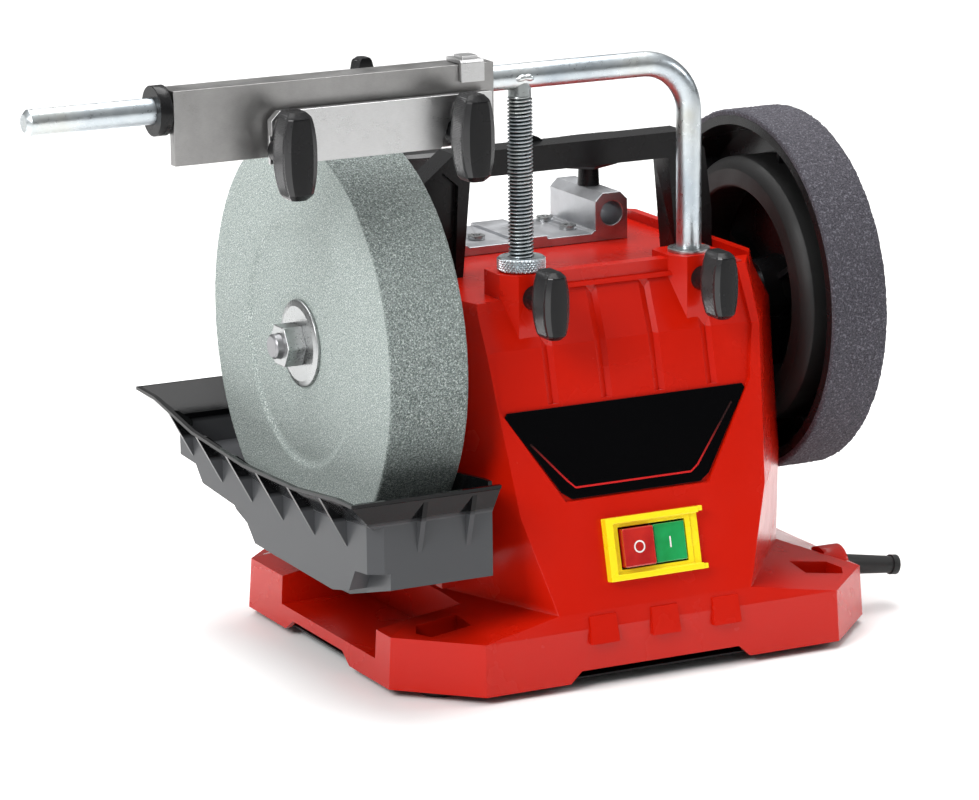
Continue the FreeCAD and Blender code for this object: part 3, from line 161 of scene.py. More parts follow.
# ---- helpers: nodes and materials ----------------------------------------------------
class Nodes:
    """A small helper that builds one material's node tree."""

    def __init__(self, name):
        self.material = bpy.data.materials.new(name)
        self.material.use_nodes = True
        self.tree = self.material.node_tree
        self.shader = self.tree.nodes["Principled BSDF"]
        self.point = self.add("ShaderNodeTexCoord").outputs["Object"]

    def add(self, kind, **values):
        node = self.tree.nodes.new(kind)
        for key, value in values.items():
            setattr(node, key, value)
        return node

    def link(self, source, target):
        self.tree.links.new(source, target)

    def feed(self, value, socket):
        """Link a socket, or set a number or a colour of three values."""
        if isinstance(value, bpy.types.NodeSocket):
            self.link(value, socket)
        elif isinstance(value, (int, float)):
            socket.default_value = value
        else:
            socket.default_value = (*value, 1)

    def set(self, **values):
        for key, value in values.items():
            self.shader.inputs[key.replace("_", " ")].default_value = value

    def scaled(self, scale):
        """Object coordinates stretched by three factors."""
        mapping = self.add("ShaderNodeMapping")
        mapping.inputs["Scale"].default_value = scale
        self.link(self.point, mapping.inputs["Vector"])
        return mapping.outputs["Vector"]

    def noise(self, scale, detail, rough=0.5, vector=None):
        node = self.add("ShaderNodeTexNoise")
        node.inputs["Scale"].default_value = scale
        node.inputs["Detail"].default_value = detail
        node.inputs["Roughness"].default_value = rough
        self.link(vector or self.point, node.inputs["Vector"])
        return node.outputs["Fac"]

    def cells(self, scale):
        node = self.add("ShaderNodeTexVoronoi", feature="F1")
        node.inputs["Scale"].default_value = scale
        self.link(self.point, node.inputs["Vector"])
        return node.outputs["Distance"]

    def ramp(self, value, stops):
        node = self.add("ShaderNodeValToRGB")
        elements = node.color_ramp.elements
        while len(elements) < len(stops):
            elements.new(0.5)
        for element, (position, colour) in zip(elements, stops):
            element.position = position
            element.color = (*colour, 1)
        self.link(value, node.inputs["Fac"])
        return node.outputs["Color"]

    def remap(self, value, low, high, from_low=0.0, from_high=1.0):
        node = self.add("ShaderNodeMapRange")
        node.inputs["From Min"].default_value = from_low
        node.inputs["From Max"].default_value = from_high
        node.inputs["To Min"].default_value = low
        node.inputs["To Max"].default_value = high
        self.link(value, node.inputs["Value"])
        return node.outputs["Result"]

    def mix(self, factor, a, b, blend="MIX"):
        node = self.add("ShaderNodeMix", data_type="RGBA", blend_type=blend)
        self.feed(factor, node.inputs[0])
        self.feed(a, node.inputs[6])
        self.feed(b, node.inputs[7])
        return node.outputs[2]

    def axis(self, name):
        node = self.add("ShaderNodeSeparateXYZ")
        self.link(self.point, node.inputs[0])
        return node.outputs[name]

    def maths(self, a, b, operation="ADD"):
        node = self.add("ShaderNodeMath", operation=operation)
        self.feed(a, node.inputs[0])
        self.feed(b, node.inputs[1])
        return node.outputs[0]

    def radius(self, centre):
        """Distance in metres from an axis; centre gives its place on two of the three axes."""
        squares = []
        for name, value in centre.items():
            offset = self.maths(self.axis(name), -value)
            squares.append(self.maths(offset, offset, "MULTIPLY"))
        return self.maths(self.maths(*squares), 0.5, "POWER")

    def colour(self, output):
        self.link(output, self.shader.inputs["Base Color"])

    def rough(self, output):
        self.link(output, self.shader.inputs["Roughness"])

    def bump(self, height, strength, distance):
        """A bump on top of those already there."""
        node = self.add("ShaderNodeBump")
        node.inputs["Strength"].default_value = strength
        node.inputs["Distance"].default_value = distance
        self.link(height, node.inputs["Height"])
        normal = self.shader.inputs["Normal"]
        if normal.is_linked:
            self.link(normal.links[0].from_socket, node.inputs["Normal"])
        self.link(node.outputs["Normal"], normal)


def plastic(name, colour, rough, grain, grain_scale, tint, coat=0.0, specular=0.34):
    """Moulded plastic: a little colour drift, uneven gloss and a fine mould grain."""
    n = Nodes(name)
    drift = n.noise(18, 2)
    dark = [c * (1 - tint) for c in colour]
    light = [min(1.0, c * (1 + tint)) for c in colour]
    n.colour(n.mix(drift, dark, light))
    n.rough(n.remap(n.noise(45, 4), *rough, 0.3, 0.7))
    n.bump(n.noise(grain_scale, 2), grain, 0.0004)
    n.bump(n.noise(28, 1), 0.05, 0.0012)
    n.set(Coat_Weight=coat, Coat_Roughness=0.06, Specular_IOR_Level=specular)
    return n.material


def housing_red():
    """Glossy red moulding with broad, shallow waves."""
    n = Nodes("housing_red")
    drift = n.noise(7, 2)
    n.colour(n.mix(drift, (0.44, 0.0066, 0.0010), (0.53, 0.0094, 0.0016)))
    n.rough(n.remap(n.noise(30, 4), 0.19, 0.30, 0.3, 0.7))
    n.bump(n.noise(1500, 2), 0.03, 0.0003)
    n.bump(n.noise(22, 2), 0.05, 0.0010)
    n.set(Coat_Weight=0.05, Coat_Roughness=0.05, Specular_IOR_Level=0.22)
    return n.material


def steel(name, colour, rough, scratch, blotch, streak=None, metallic=1.0):
    """Bare or plated metal; streak stretches the finish's scratches along one axis."""
    n = Nodes(name)
    coarse = n.noise(60, 5, 0.6)
    pale = [min(1.0, c * (1 + blotch)) for c in colour]
    deep = [c * (1 - blotch) for c in colour]
    base = n.mix(n.remap(coarse, 0, 1, 0.3, 0.7), deep, pale)
    lines = n.noise(1.0, 6, 0.7, n.scaled(streak)) if streak else n.noise(900, 3)
    shade = n.ramp(lines, [(0.3, (0.25, 0.25, 0.26)), (0.7, (1, 1, 1))])
    n.colour(n.mix(0.18, base, shade, "MULTIPLY"))
    n.rough(n.remap(n.maths(coarse, lines, "MULTIPLY"), *rough, 0.12, 0.42))
    n.bump(lines, scratch, 0.0002)
    n.set(Metallic=metallic)
    return n.material


def zinc(name, painted_root_shade=None):
    """Bright zinc with a faint blue and straw cast; the optional root shade paints shade in a thread's
    roots, darkening what lies near an axis.
    """
    n = Nodes(name)
    cast = n.noise(35, 3)
    plate = n.ramp(cast, [
        (0.3, (0.38, 0.43, 0.47)),
        (0.55, (0.54, 0.58, 0.60)),
        (0.75, (0.55, 0.56, 0.52)),
    ])
    if painted_root_shade:
        centre, low, high = painted_root_shade
        # Painted shade: darkest at the thread's roots near the axis, fading out towards the crests.
        plate = n.mix(n.remap(n.radius(centre), 0, 1, low, high), (0.045, 0.055, 0.055), plate)
    n.colour(plate)
    n.rough(n.remap(n.noise(420, 4, 0.6), 0.24, 0.42, 0.3, 0.7))
    n.bump(n.noise(700, 4), 0.22, 0.0003)
    n.set(Metallic=1.0)
    return n.material


def abrasive(name, ground, dark, light, grain, depth, rim=None):
    """Pale and dark grains of one size in a duller bond; rim darkens what lies beyond a radius."""
    n = Nodes(name)
    grains = n.cells(grain)
    specks = n.noise(grain * 1.15, 3, 0.7)
    base = n.mix(n.remap(specks, 0, 1, 0.43, 0.56), dark, ground)
    base = n.mix(n.remap(n.noise(grain * 0.62, 2), 0, 1, 0.55, 0.66), base, light)
    if rim:
        centre, low, high = rim
        clumps = n.remap(n.noise(grain * 0.5, 3, 0.7), 0, 1, 0.40, 0.60)
        shade = n.mix(clumps, (0.26, 0.28, 0.28), (0.86, 0.87, 0.87))
        beyond = n.remap(n.radius(centre), 0, 1, low, high)
        base = n.mix(beyond, base, n.mix(1.0, base, shade, "MULTIPLY"))
    worn = n.remap(n.noise(9, 3), 0.0, 0.22, 0.35, 0.75)
    n.colour(n.mix(worn, base, [c * 0.72 for c in ground]))
    n.rough(n.remap(specks, 0.72, 0.95))
    n.bump(grains, 0.55, depth)
    n.bump(specks, 0.45, depth)
    return n.material


def button_plastic(name, colour, pale):
    """Button cap: a clear coat over a strong colour that drifts a little."""
    n = Nodes(name)
    n.colour(n.mix(n.remap(n.noise(120, 2), 0, 1, 0.3, 0.7), colour, pale))
    n.rough(n.remap(n.noise(300, 2), 0.12, 0.2))
    n.bump(n.noise(500, 2), 0.05, 0.0003)
    n.set(Coat_Weight=0.8, Coat_Roughness=0.05, Subsurface_Weight=0.15, Subsurface_Scale=0.002)
    return n.material


def accent_red(z_low, z_high):
    """Printed line that fades out towards the label's upper edge."""
    n = Nodes("accent_red")
    fade = n.remap(n.axis("Z"), 0.0, 1.0, z_low, z_high)
    n.colour(n.mix(fade, (0.55, 0.012, 0.012), (0.02, 0.004, 0.004)))
    n.rough(n.remap(n.noise(200, 2), 0.18, 0.26))
    return n.material


def trough_plastic():
    """Glossy black lip above duller walls whose grey is a painted reflection of the white floor; the lip's
    foot dips towards the middle.
    """
    n = Nodes("trough_plastic")
    along = n.axis("Y")
    sag = n.maths(n.maths(along, along, "MULTIPLY"), LIP_CURVE, "MULTIPLY")
    above = n.maths(n.axis("Z"), sag, "SUBTRACT")
    lip = n.remap(above, 0.0, 1.0, LIP_FOOT - 0.0012, LIP_FOOT + 0.0012)
    # Painted reflection: the walls below the lip's foot get a grey that stands for the floor seen in the
    # black plastic; the lip keeps the near-black.
    n.colour(n.mix(lip, (0.060, 0.062, 0.066), (0.0030, 0.0031, 0.0035)))
    n.rough(n.mix(lip, (0.34, 0.34, 0.34), (0.09, 0.09, 0.09)))
    n.bump(n.noise(1500, 2), 0.05, 0.0003)
    n.set(Coat_Weight=0.04, Coat_Roughness=0.05, Specular_IOR_Level=0.16)
    return n.material


def floor_white():
    n = Nodes("studio_floor")
    n.colour(n.mix(n.noise(3, 2), (0.93, 0.93, 0.925), (0.96, 0.96, 0.955)))
    n.set(Roughness=0.9)
    return n.material


def stone_rim():
    """The main shaft's line, and the two radii between which the stone darkens."""
    shaft = middle("main_shaft")
    return {"Y": shaft.y, "Z": shaft.z}, *STONE_RIM


MATERIALS = {
    "red_housing": housing_red(),
    "black_plastic": plastic("black_plastic", (0.007, 0.007, 0.0075), (0.20, 0.32),
                             grain=0.10, grain_scale=1400, tint=0.12, specular=0.20),
    "label_gloss": plastic("label_gloss", (0.0015, 0.0015, 0.0018), (0.08, 0.13),
                           grain=0.01, grain_scale=1800, tint=0.1, specular=0.08),
    "switch_yellow": plastic("switch_yellow", (0.90, 0.70, 0.01), (0.20, 0.30),
                             grain=0.05, grain_scale=1500, tint=0.05, coat=0.3),
    "switch_black": plastic("switch_black", (0.02, 0.02, 0.02), (0.3, 0.45),
                            grain=0.08, grain_scale=1500, tint=0.1),
    "stop_red": button_plastic("stop_red", (0.36, 0.006, 0.006), (0.50, 0.016, 0.010)),
    "start_green": button_plastic("start_green", (0.006, 0.26, 0.06), (0.01, 0.34, 0.09)),
    "rubber": plastic("rubber", (0.012, 0.012, 0.012), (0.42, 0.62),
                      grain=0.15, grain_scale=1100, tint=0.15),
    "bracket_aluminium": steel("cast_aluminium", (0.52, 0.53, 0.55), (0.30, 0.50),
                               scratch=0.12, blotch=0.16, streak=(900, 6000, 6000), metallic=0.92),
    "plate_aluminium": steel("brushed_aluminium", (0.60, 0.60, 0.60), (0.24, 0.40),
                             scratch=0.14, blotch=0.07, streak=(400, 4000, 4000)),
    "bright_steel": steel("bright_steel", (0.46, 0.47, 0.47), (0.24, 0.40), scratch=0.10, blotch=0.07),
    "dark_steel": steel("dark_steel", (0.30, 0.30, 0.31), (0.28, 0.5),
                        scratch=0.15, blotch=0.2, streak=(3000, 400, 400)),
    "bronze": steel("sintered_bronze", (0.60, 0.42, 0.18), (0.35, 0.6), scratch=0.2, blotch=0.15),
    "stone": abrasive("grey_stone", ground=(0.43, 0.485, 0.462), dark=(0.16, 0.20, 0.19),
                      light=(0.72, 0.77, 0.745), grain=2300, depth=0.0006, rim=stone_rim()),
    "inner_flange": steel("flange_paint", (0.22, 0.22, 0.23), (0.4, 0.55),
                          scratch=0.1, blotch=0.1, metallic=0.4),
    "leather": abrasive("honing_leather", ground=(0.070, 0.066, 0.082), dark=(0.018, 0.016, 0.024),
                        light=(0.135, 0.132, 0.155), grain=1500, depth=0.0009),
    "lamination": steel("lamination", (0.36, 0.36, 0.37), (0.35, 0.5),
                        scratch=0.4, blotch=0.1, streak=(5000, 90, 90)),
    "copper": steel("copper_wire", (0.62, 0.25, 0.10), (0.3, 0.45),
                    scratch=0.5, blotch=0.15, streak=(200, 2600, 2600)),
    "bell_aluminium": steel("bell_aluminium", (0.62, 0.62, 0.63), (0.38, 0.55), scratch=0.2, blotch=0.1),
    "capacitor_case": plastic("capacitor_case", (0.62, 0.62, 0.60), (0.35, 0.45),
                              grain=0.05, grain_scale=1300, tint=0.05),
    "trough_plastic": trough_plastic(),
}
ZINC = zinc("zinc_plate")
# Painted light: the grip is a lighter copy of the black plastic, put on the knurled flanks so they look
# lit.
LIT_KNOB_GRIP = plastic("knob_grip_painted_light", (0.020, 0.020, 0.021), (0.22, 0.32),
                    grain=0.02, grain_scale=1500, tint=0.1, coat=0.2)
# Painted shade: the jig body gets a darker copy of the cast aluminium.
SHADED_JIG_BODY = steel("jig_aluminium_painted_shade", (0.34, 0.335, 0.33), (0.26, 0.44),
                 scratch=0.20, blotch=0.14, streak=(500, 4000, 4000))
# Nodes whose look differs from their material slot's own; the jig body's darker aluminium is painted shade
OWN_LOOK = {"support_bar": ZINC, "threaded_leg": ZINC, "adjusting_nut": ZINC, "jig_body": SHADED_JIG_BODY}


# ---- helpers: meshes -----------------------------------------------------------------
def new_piece(name, verts, faces, material, body, sharp_deg=35):
    """A smooth-shaded piece on a body; edges that turn more than sharp_deg stay sharp."""
    mesh = bpy.data.meshes.new(name)
    mesh.from_pydata(verts, [], faces)
    mesh.validate()
    bm = bmesh.new()
    bm.from_mesh(mesh)
    bmesh.ops.remove_doubles(bm, verts=bm.verts, dist=WELD_DISTANCE)
    bmesh.ops.recalc_face_normals(bm, faces=bm.faces)
    for edge in bm.edges:
        edge.smooth = len(edge.link_faces) == 2 and edge.calc_face_angle(0) < math.radians(sharp_deg)
    for face in bm.faces:
        face.smooth = True
    bm.to_mesh(mesh)
    bm.free()
    piece = bpy.data.objects.new(name, mesh)
    bpy.context.scene.collection.objects.link(piece)
    mesh.materials.append(material)
    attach(piece, body)
    return piece


def swept(rings, place, capped=True):
    """Vertices and faces of a skin over closed rings of local points, with or without end caps."""
    count = len(rings[0])
    verts = [place @ Vector(p) for ring in rings for p in ring]
    faces = []
    for i in range(len(rings) - 1):
        for j in range(count):
            a, b = i * count + j, i * count + (j + 1) % count
            faces.append((a, b, b + count, a + count))
    if capped:
        last = (len(rings) - 1) * count
        faces.append(tuple(range(count)))
        faces.append(tuple(last + j for j in range(count)))
    return verts, faces


def triangle_wave(t):
    return abs(2 * (t - math.floor(t)) - 1)


def knurl(u, v):
    """Height of a diamond knurl, 0 in its grooves and 1 on its points."""
    return min(triangle_wave(u + v), triangle_wave(u - v))


def dress_cad_nodes():
    """Bevelled edges and a material for every CAD node."""
    slots = {part["node"]: part["material_slot"] for part in frame["record"]["subparts"]}
    for name, node in frame["nodes"].items():
        node.data.materials.clear()
        node.data.materials.append(OWN_LOOK.get(name) or MATERIALS[slots[name]])
        weld = node.modifiers.new("weld", "WELD")
        weld.merge_threshold = WELD_DISTANCE
        bevel = node.modifiers.new("edges", "BEVEL")
        bevel.width = BEVEL_MM.get(name, DEFAULT_BEVEL_MM) * MM
        bevel.segments = 3 if name in BEVEL_MM else 2
        bevel.limit_method = "ANGLE"
        bevel.angle_limit = math.radians(32)
        bevel.use_clamp_overlap = True
        bevel.harden_normals = True
        bevel.miter_outer = "MITER_ARC"


# ---- wing knobs ----------------------------------------------------------------------
def knob_section(half_thick, back, front, knurl_height, level):
    """One level of a wing knob: plain back, crowned front, knurled flanks."""
    flanks = []
    for side in (-1, 1):
        flank = []
        for i in range(FLANK_STEPS + 1):
            t = i / FLANK_STEPS
            y = back + (front - back) * (FLANK_INSET + t * (1 - 2 * FLANK_INSET))
            fade = min(1.0, min(t, 1 - t) * 6)
            rise = knurl_height * fade * knurl(i / KNURL_STEPS, level / KNURL_STEPS)
            flank.append((side * (half_thick + rise), y))
        flanks.append(flank)
    span = half_thick * 0.9
    crown = []
    for i in range(1, FRONT_STEPS):
        s = -1 + 2 * i / FRONT_STEPS
        crown.append((s * span, front - FRONT_CROWN * (1 - s * s)))
    rear = [(span, back), (0.0, back), (-span, back)]
    return flanks[0] + crown + list(reversed(flanks[1])) + rear


def wing_rings(wing):
    """Levels of a wing from its lower to its upper tip, thinner and shallower towards both."""
    rings = []
    for k in range(KNOB_LEVELS + 1):
        w = -1 + 2 * k / KNOB_LEVELS
        taper = 1 - 0.40 * abs(w) ** 2.4 - 0.12 * max(0.0, abs(w) - 0.9) * 10
        tip = max(0.0, abs(w) - TIP_START) / (1 - TIP_START)
        front = wing.front + TIP_SLOPE * tip
        back = wing.back - (0.10 + 0.22 * abs(w)) * (wing.back - wing.front) * 0.5
        fade = min(1.0, (1 - abs(w)) * 7)
        section = knob_section(wing.half_thick * taper, back, front, KNURL_HEIGHT * fade, k)
        rings.append([(x, y, wing.half_high * w) for x, y in section])
    return rings


def stem_rings(wing):
    """Round stem from the seat into the wing, a little thinner inwards."""
    rings = []
    inside = wing.back + (wing.front - wing.back) * 0.4
    for y, r in ((0, wing.stem_r), (wing.back * 0.55, wing.stem_r * 0.96), (inside, wing.stem_r * 0.9)):
        angles = [TAU * i / STEM_STEPS for i in range(STEM_STEPS)]
        rings.append([(r * math.cos(a), y, r * math.sin(a)) for a in angles])
    return rings


def wing_knob(name, body, wing, place):
    """Wing and stem of one knob; the flanks get the grip's lighter colour, which is painted light, and flat
    shading.
    """
    verts, faces = swept(wing_rings(wing), place)
    piece = new_piece(name, verts, faces, MATERIALS["black_plastic"], body, 24)
    piece.data.materials.append(LIT_KNOB_GRIP)
    to_knob = place.to_3x3().inverted()
    # The flank faces take the grip's painted light.
    for face in piece.data.polygons:
        if abs((to_knob @ face.normal).x) > 0.5:
            face.material_index = 1
            face.use_smooth = False
    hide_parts(name)
    verts, faces = swept(stem_rings(wing), place)
    new_piece(name + "_stem", verts, faces, MATERIALS["black_plastic"], body)


def build_knobs():
    """All seven knobs, each seated at its CAD solid."""
    for name in ("lock_knob_left", "lock_knob_right"):
        low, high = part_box(name)
        centre = (low + high) / 2
        place = Matrix.Translation((centre.x, low.y + KNOB_DEPTH, centre.z))
        wing_knob(name, name, LOCK_WING, place)
    for name in ("jig_knob_left", "jig_knob_right"):
        low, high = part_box(name)
        centre = (low + high) / 2
        place = Matrix.Translation((centre.x, high.y, centre.z))
        wing_knob(name, name, JIG_WING, place)
    upright = Matrix.Rotation(math.pi / 2, 4, "Z") @ Matrix.Rotation(-math.pi / 2, 4, "X")
    for name in ("bracket_knob_left", "bracket_knob_right"):
        low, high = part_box(name)
        centre = (low + high) / 2
        place = Matrix.Translation((centre.x, centre.y, high.z - KNOB_DEPTH)) @ upright
        wing_knob(name, name, BRACKET_WING, place)
    low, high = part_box("jig_lock_knob")
    centre = (low + high) / 2
    seat = Matrix.Translation((centre.x, high.y - SMALL_KNOB_DEPTH, centre.z))
    wing_knob("jig_lock_knob", "jig_lock", JIG_LOCK_WING, seat @ Matrix.Rotation(math.pi, 4, "Z"))


# ---- threaded leg, weld and nut ------------------------------------------------------
def thread_radius(z, turn, bottom, thread_end):
    """Radius of the rod at a height and a part of a turn: helix, tapered out at both ends."""
    lead_in = min(1.0, max(0.0, (z - bottom) / THREAD_TAPER))
    run_out = min(1.0, max(0.0, (thread_end - z) / THREAD_TAPER))
    crest = min(1.0, max(0.0, triangle_wave(z / PITCH - turn) * 1.35 - 0.12))
    r = ROOT_R + (ROD_R - ROOT_R) * lead_in * crest if run_out > 0 else NECK_R
    return NECK_R + (r - NECK_R) * run_out


def build_threaded_leg():
    """M12 rod with its real helical thread and a plain neck under the weld."""
    low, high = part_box("threaded_leg")
    axis = middle("adjusting_nut")
    bottom, top = low.z, high.z
    levels = int((top - bottom) / (PITCH / LEVELS_PER_PITCH))
    rings = []
    for k in range(levels + 1):
        z = bottom + (top - bottom) * k / levels
        ring = []
        for i in range(THREAD_STEPS):
            r = thread_radius(z, i / THREAD_STEPS, bottom, top - NECK_LENGTH)
            a = TAU * i / THREAD_STEPS
            ring.append((r * math.cos(a), r * math.sin(a), z))
        rings.append(ring)
    verts, faces = swept(rings, Matrix.Translation((axis.x, axis.y, 0)))
    # Painted shade in the thread's roots, from the root radius out to just under the crest.
    painted_root_shade = ({"X": axis.x, "Y": axis.y}, ROOT_R + 0.1 * MM, ROD_R - 0.15 * MM)
    leg = new_piece("threaded_leg", verts, faces, zinc("zinc_thread", painted_root_shade), "support", 55)
    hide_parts("threaded_leg")


def build_weld_bead():
    """Lumpy ring of weld where the threaded leg meets the bar."""
    axis = middle("adjusting_nut")
    bar_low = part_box("threaded_leg")[1].z - 1.5 * MM
    rings = []
    for i in range(WELD_STEPS):
        a = TAU * i / WELD_STEPS
        bump = noise.noise(Vector((3 * math.cos(a), 3 * math.sin(a), 0.7)))
        lump = 1 + 0.16 * math.sin(9 * a) + 0.10 * bump
        level = bar_low + BEAD_SADDLE * math.sin(a) ** 2
        ring = []
        for j in range(BEAD_STEPS):
            b = TAU * j / BEAD_STEPS
            r = BEAD_RING_R + BEAD_HALF_WIDE * lump * math.cos(b)
            z = level + BEAD_HALF_HIGH * lump * math.sin(b)
            ring.append((r * math.cos(a), r * math.sin(a), z))
        rings.append(ring)
    rings.append(rings[0])
    verts, faces = swept(rings, Matrix.Translation((axis.x, axis.y, 0)), capped=False)
    new_piece("weld_bead", verts, faces, ZINC, "support")


def build_nut():
    """Round height nut with a diamond knurl and chamfered rims."""
    low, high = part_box("adjusting_nut")
    axis = (low + high) / 2
    radius = (high.x - low.x) / 2
    corner, chamfer, plain = 1.0 * MM, 0.5 * MM, 0.7 * MM
    knurled = high.z - low.z - 2 * plain
    profile = [(NUT_BORE_R, low.z), (radius - corner, low.z), (radius - chamfer, low.z + chamfer)]
    profile += [(radius, low.z + plain + knurled * k / NUT_ROWS) for k in range(NUT_ROWS + 1)]
    profile += [(radius - chamfer, high.z - chamfer), (radius - corner, high.z), (NUT_BORE_R, high.z)]
    rings = []
    for profile_r, z in profile:
        ring = []
        for i in range(NUT_STEPS):
            r = profile_r
            if profile_r == radius:
                height = knurl(NUT_POINTS * i / NUT_STEPS, (z - low.z) / NUT_KNURL_RISE)
                r -= NUT_KNURL_DEPTH * (1 - min(1.0, 1.5 * height))
            a = TAU * i / NUT_STEPS
            ring.append((r * math.cos(a), r * math.sin(a), z))
        rings.append(ring)
    rings.append(rings[0])
    verts, faces = swept(rings, Matrix.Translation((axis.x, axis.y, 0)), capped=False)
    nut = new_piece("adjusting_nut", verts, faces, ZINC, "height_nut", 30)
    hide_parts("adjusting_nut")


# ---- wheels --------------------------------------------------------------------------
def lathe(name, profile, outer, around, grain, roughness, slot_name):
    """Wheel turned about the main shaft whose skin has real grain; profile is (x, r) in mm."""
    bore = profile[0][1]
    rings = []
    for x, r in profile:
        ring = []
        for i in range(around):
            a = TAU * i / around
            p = Vector((x * MM, r * MM * math.cos(a), r * MM * math.sin(a)))
            lift = 0.0
            if r > 1.02 * bore:
                lift = roughness * MM * (noise.noise(p * grain) + 0.5 * noise.noise(p * grain * 2.1) - 0.35)
            skin_r = min(r * MM + lift, outer * MM)
            side = lift if x < 0 and r < outer - EDGE_BAND_MM else 0.0
            ring.append((x * MM - side, -skin_r * math.sin(a), skin_r * math.cos(a)))
        rings.append(ring)
    rings.append(rings[0])
    shaft = middle("main_shaft")
    verts, faces = swept(rings, Matrix.Translation((0, shaft.y, shaft.z)), capped=False)
    piece = new_piece(name, verts, faces, MATERIALS[slot_name], "wheels", 50)
    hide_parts(name)


def steps(a, b, size):
    """Evenly spaced values from a towards b, b left out."""
    count = max(1, int(abs(b - a) / size))
    return [a + (b - a) * i / count for i in range(count)]


def build_stone():
    """Grinding stone with a shallow recess on its outer side and eased corners."""
    low, high = (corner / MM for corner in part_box("grinding_stone"))
    x0, x1 = low.x, high.x
    radius, slope_r = STONE_R_MM, RECESS_R_MM + RECESS_SLOPE_MM
    profile = [(x0 + RECESS_MM, r) for r in steps(STONE_BORE_MM, RECESS_R_MM, 2.2)]
    profile += [(x0 + RECESS_MM * (1 - t), RECESS_R_MM + RECESS_SLOPE_MM * t) for t in steps(0, 1, 0.34)]
    profile += [(x0, r) for r in steps(slope_r, radius - 1.2, STONE_STEP_MM)]
    profile += [(x0 + inset, radius - drop) for inset, drop in STONE_EDGE_MM]
    profile += [(x, radius - 0.02) for x in steps(x0 + 1.6, x1 - 1.4, STONE_STEP_MM)]
    profile += [(x1 - inset, radius - drop) for inset, drop in reversed(STONE_EDGE_MM)]
    profile += [(x1, r) for r in steps(radius - 2.4, STONE_BORE_MM, 3.0)] + [(x1, STONE_BORE_MM)]
    lathe("grinding_stone", profile, radius, around=560, grain=900, roughness=0.22, slot_name="stone")


def build_belt():
    """Rough band round the honing drum."""
    low, high = (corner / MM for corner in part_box("honing_belt"))
    x0, x1 = low.x, high.x
    radius, inner = BELT_R_MM, BELT_INNER_MM
    profile = [(x0 + 0.1, inner)] + [(x0 + inset, radius - drop) for inset, drop in BELT_EDGE_MM]
    profile += [(x, radius - 0.05) for x in steps(x0 + 1.0, x1 - 0.9, BELT_STEP_MM)]
    profile += [(x1 - inset, radius - drop) for inset, drop in reversed(BELT_EDGE_MM)]
    profile.append((x1 - 0.1, inner))
    lathe("honing_belt", profile, radius, around=620, grain=620, roughness=0.60, slot_name="leather")


# ---- label and switch ----------------------------------------------------------------
def front_place(node):
    """Place on the leaning switch side at a node's centre: local X right, Y up the face, Z outwards."""
    up = Vector((0, math.sin(FRONT_LEAN), math.cos(FRONT_LEAN)))
    out = Vector((0, -math.cos(FRONT_LEAN), math.sin(FRONT_LEAN)))
    place = Matrix((Vector((1, 0, 0)), up, out)).transposed().to_4x4()
    place.translation = middle(node)
    return place


def strip(points, width, thick):
    """Flat band along a polyline in the local XY plane, closed at both ends."""
    verts, faces = [], []
    for i, p in enumerate(points):
        before = Vector(points[max(i - 1, 0)])
        after = Vector(points[min(i + 1, len(points) - 1)])
        along = (after - before).normalized()
        side = Vector((-along.y, along.x)) * width / 2
        for s, z in ((1, 0), (-1, 0), (-1, thick), (1, thick)):
            corner = Vector(p) + side * s
            verts.append((corner.x, corner.y, z))
    for i in range(len(points) - 1):
        a, b = 4 * i, 4 * i + 4
        for j in range(4):
            k = (j + 1) % 4
            faces.append((a + j, a + k, b + k, b + j))
    end = 4 * (len(points) - 1)
    faces += [(3, 2, 1, 0), (end, end + 1, end + 2, end + 3)]
    return verts, faces


def build_accent_line():
    """Thin red line just inside the label's slanting and lower edges."""
    low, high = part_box("label_panel")
    half_up = (high.z - low.z) / 2 / math.cos(FRONT_LEAN) - ACCENT_MARGIN
    points = [(x * MM, half_up * t) for x, t in ACCENT_OUTLINE]
    verts, faces = strip(points, ACCENT_WIDTH, PRINT_THICK)
    surface = front_place("label_panel") @ Matrix.Translation((0, 0, LABEL_FACE_MM * MM))
    verts = [surface @ Vector(v) for v in verts]
    fade_low, fade_high = ACCENT_FADE
    material = accent_red(low.z + fade_low, low.z + fade_high)
    new_piece("label_accent", verts, faces, material, "base")


def build_switch_marks():
    """The usual circle and stroke on the stop and start buttons."""
    white = plastic("mark_white", (0.75, 0.72, 0.70), (0.3, 0.4), grain=0.02, grain_scale=1500, tint=0.04)
    angles = [TAU * i / MARK_STEPS for i in range(MARK_STEPS + 1)]
    circle = [(MARK_SIZE * math.cos(a), MARK_SIZE * math.sin(a)) for a in angles]
    stroke = [(0, -MARK_SIZE), (0, MARK_SIZE)]
    marks = [("stop_button", "stop_red", circle), ("start_button", "start_green", stroke)]
    for node, slot_name, line in marks:
        verts, faces = strip(line, MARK_WIDTH, PRINT_THICK)
        face = front_place(node) @ Matrix.Translation((0, 0, BUTTON_FACE_MM[node] * MM))
        new_piece(node + "_mark", [face @ Vector(v) for v in verts], faces, white, node)


# ---- studio --------------------------------------------------------------------------
def build_floor():
    mesh = bpy.data.meshes.new("studio_floor")
    corners = [(-1, -1), (1, -1), (1, 1), (-1, 1)]
    mesh.from_pydata([(x * FLOOR_HALF, y * FLOOR_HALF, 0) for x, y in corners], [], [(0, 1, 2, 3)])
    floor = bpy.data.objects.new("studio_floor", mesh)
    bpy.context.scene.collection.objects.link(floor)
    mesh.materials.append(floor_white())


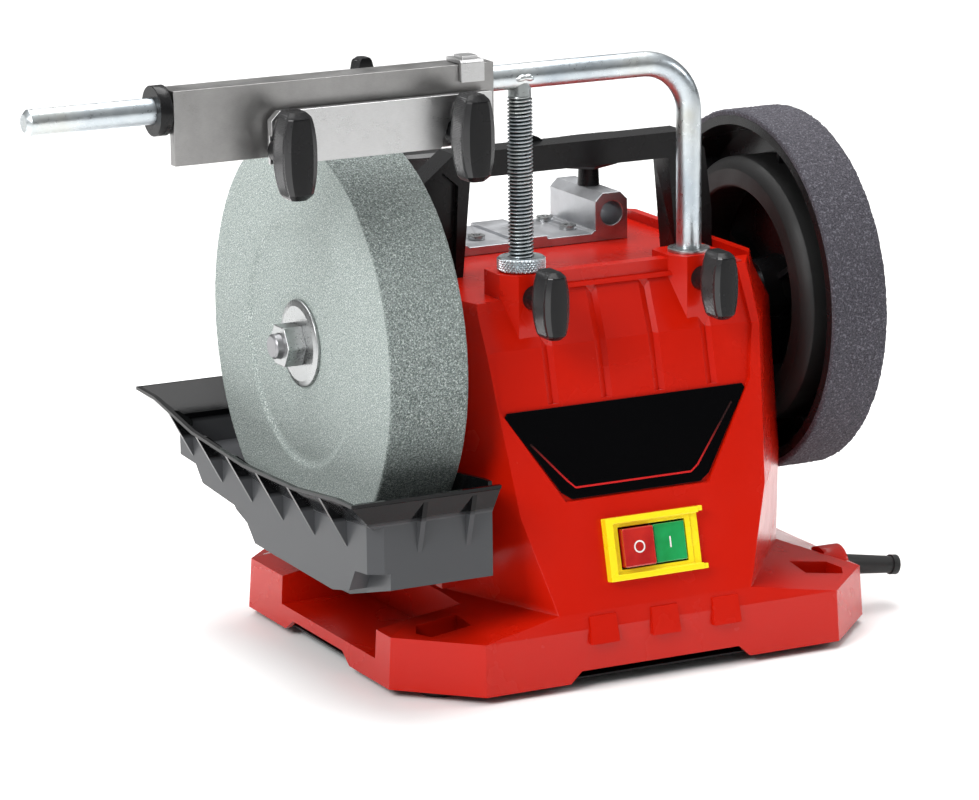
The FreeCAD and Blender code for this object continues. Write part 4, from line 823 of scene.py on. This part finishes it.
def build_sky():
    """Grey sky that brightens with height."""
    world = bpy.data.worlds.new("studio")
    bpy.context.scene.world = world
    world.use_nodes = True
    tree = world.node_tree
    direction = tree.nodes.new("ShaderNodeTexCoord").outputs["Generated"]
    height = tree.nodes.new("ShaderNodeSeparateXYZ")
    sky = tree.nodes.new("ShaderNodeValToRGB")
    for element, (position, level) in zip(sky.color_ramp.elements, SKY_LEVELS):
        element.position = position
        element.color = (level, level, level, 1)
    tree.links.new(direction, height.inputs[0])
    tree.links.new(height.outputs["Z"], sky.inputs["Fac"])
    tree.links.new(sky.outputs["Color"], tree.nodes["Background"].inputs["Color"])


def build_lights():
    """Square area lights, each aimed at the machine."""
    for name, at, target, width, power in LIGHTS:
        data = bpy.data.lights.new(name, "AREA")
        data.energy = power
        data.size = width
        lamp = bpy.data.objects.new(name, data)
        lamp.location = at
        lamp.rotation_euler = (Vector(target) - Vector(at)).to_track_quat("-Z", "Y").to_euler()
        bpy.context.scene.collection.objects.link(lamp)


def build_camera():
    """The camera at the photo's viewpoint."""
    azimuth, elevation, roll = (math.radians(angle) for angle in CAMERA_ANGLES_DEG)
    level = math.cos(elevation)
    back = Vector((math.sin(azimuth) * level, -math.cos(azimuth) * level, math.sin(elevation)))
    right = Vector((math.cos(azimuth), math.sin(azimuth), 0))
    up = back.cross(right)
    rolled_right = right * math.cos(roll) + up * math.sin(roll)
    rolled_up = up * math.cos(roll) - right * math.sin(roll)
    data = bpy.data.cameras.new("camera")
    data.sensor_width = CAMERA_SENSOR_MM
    data.lens = CAMERA_LENS_MM
    data.shift_x, data.shift_y = CAMERA_SHIFT
    data.clip_end = CAMERA_CLIP_END
    camera = bpy.data.objects.new("camera", data)
    matrix = Matrix((rolled_right, rolled_up, back)).transposed().to_4x4()
    matrix.translation = Vector(CAMERA_AT)
    camera.matrix_world = matrix
    bpy.context.scene.collection.objects.link(camera)
    bpy.context.scene.camera = camera


build_camera()
bpy.context.scene.view_settings.view_transform = "Standard"
build_floor()
build_sky()
build_lights()
dress_cad_nodes()
build_knobs()
build_threaded_leg()
build_weld_bead()
build_nut()
build_stone()
build_belt()
build_accent_line()
build_switch_marks()
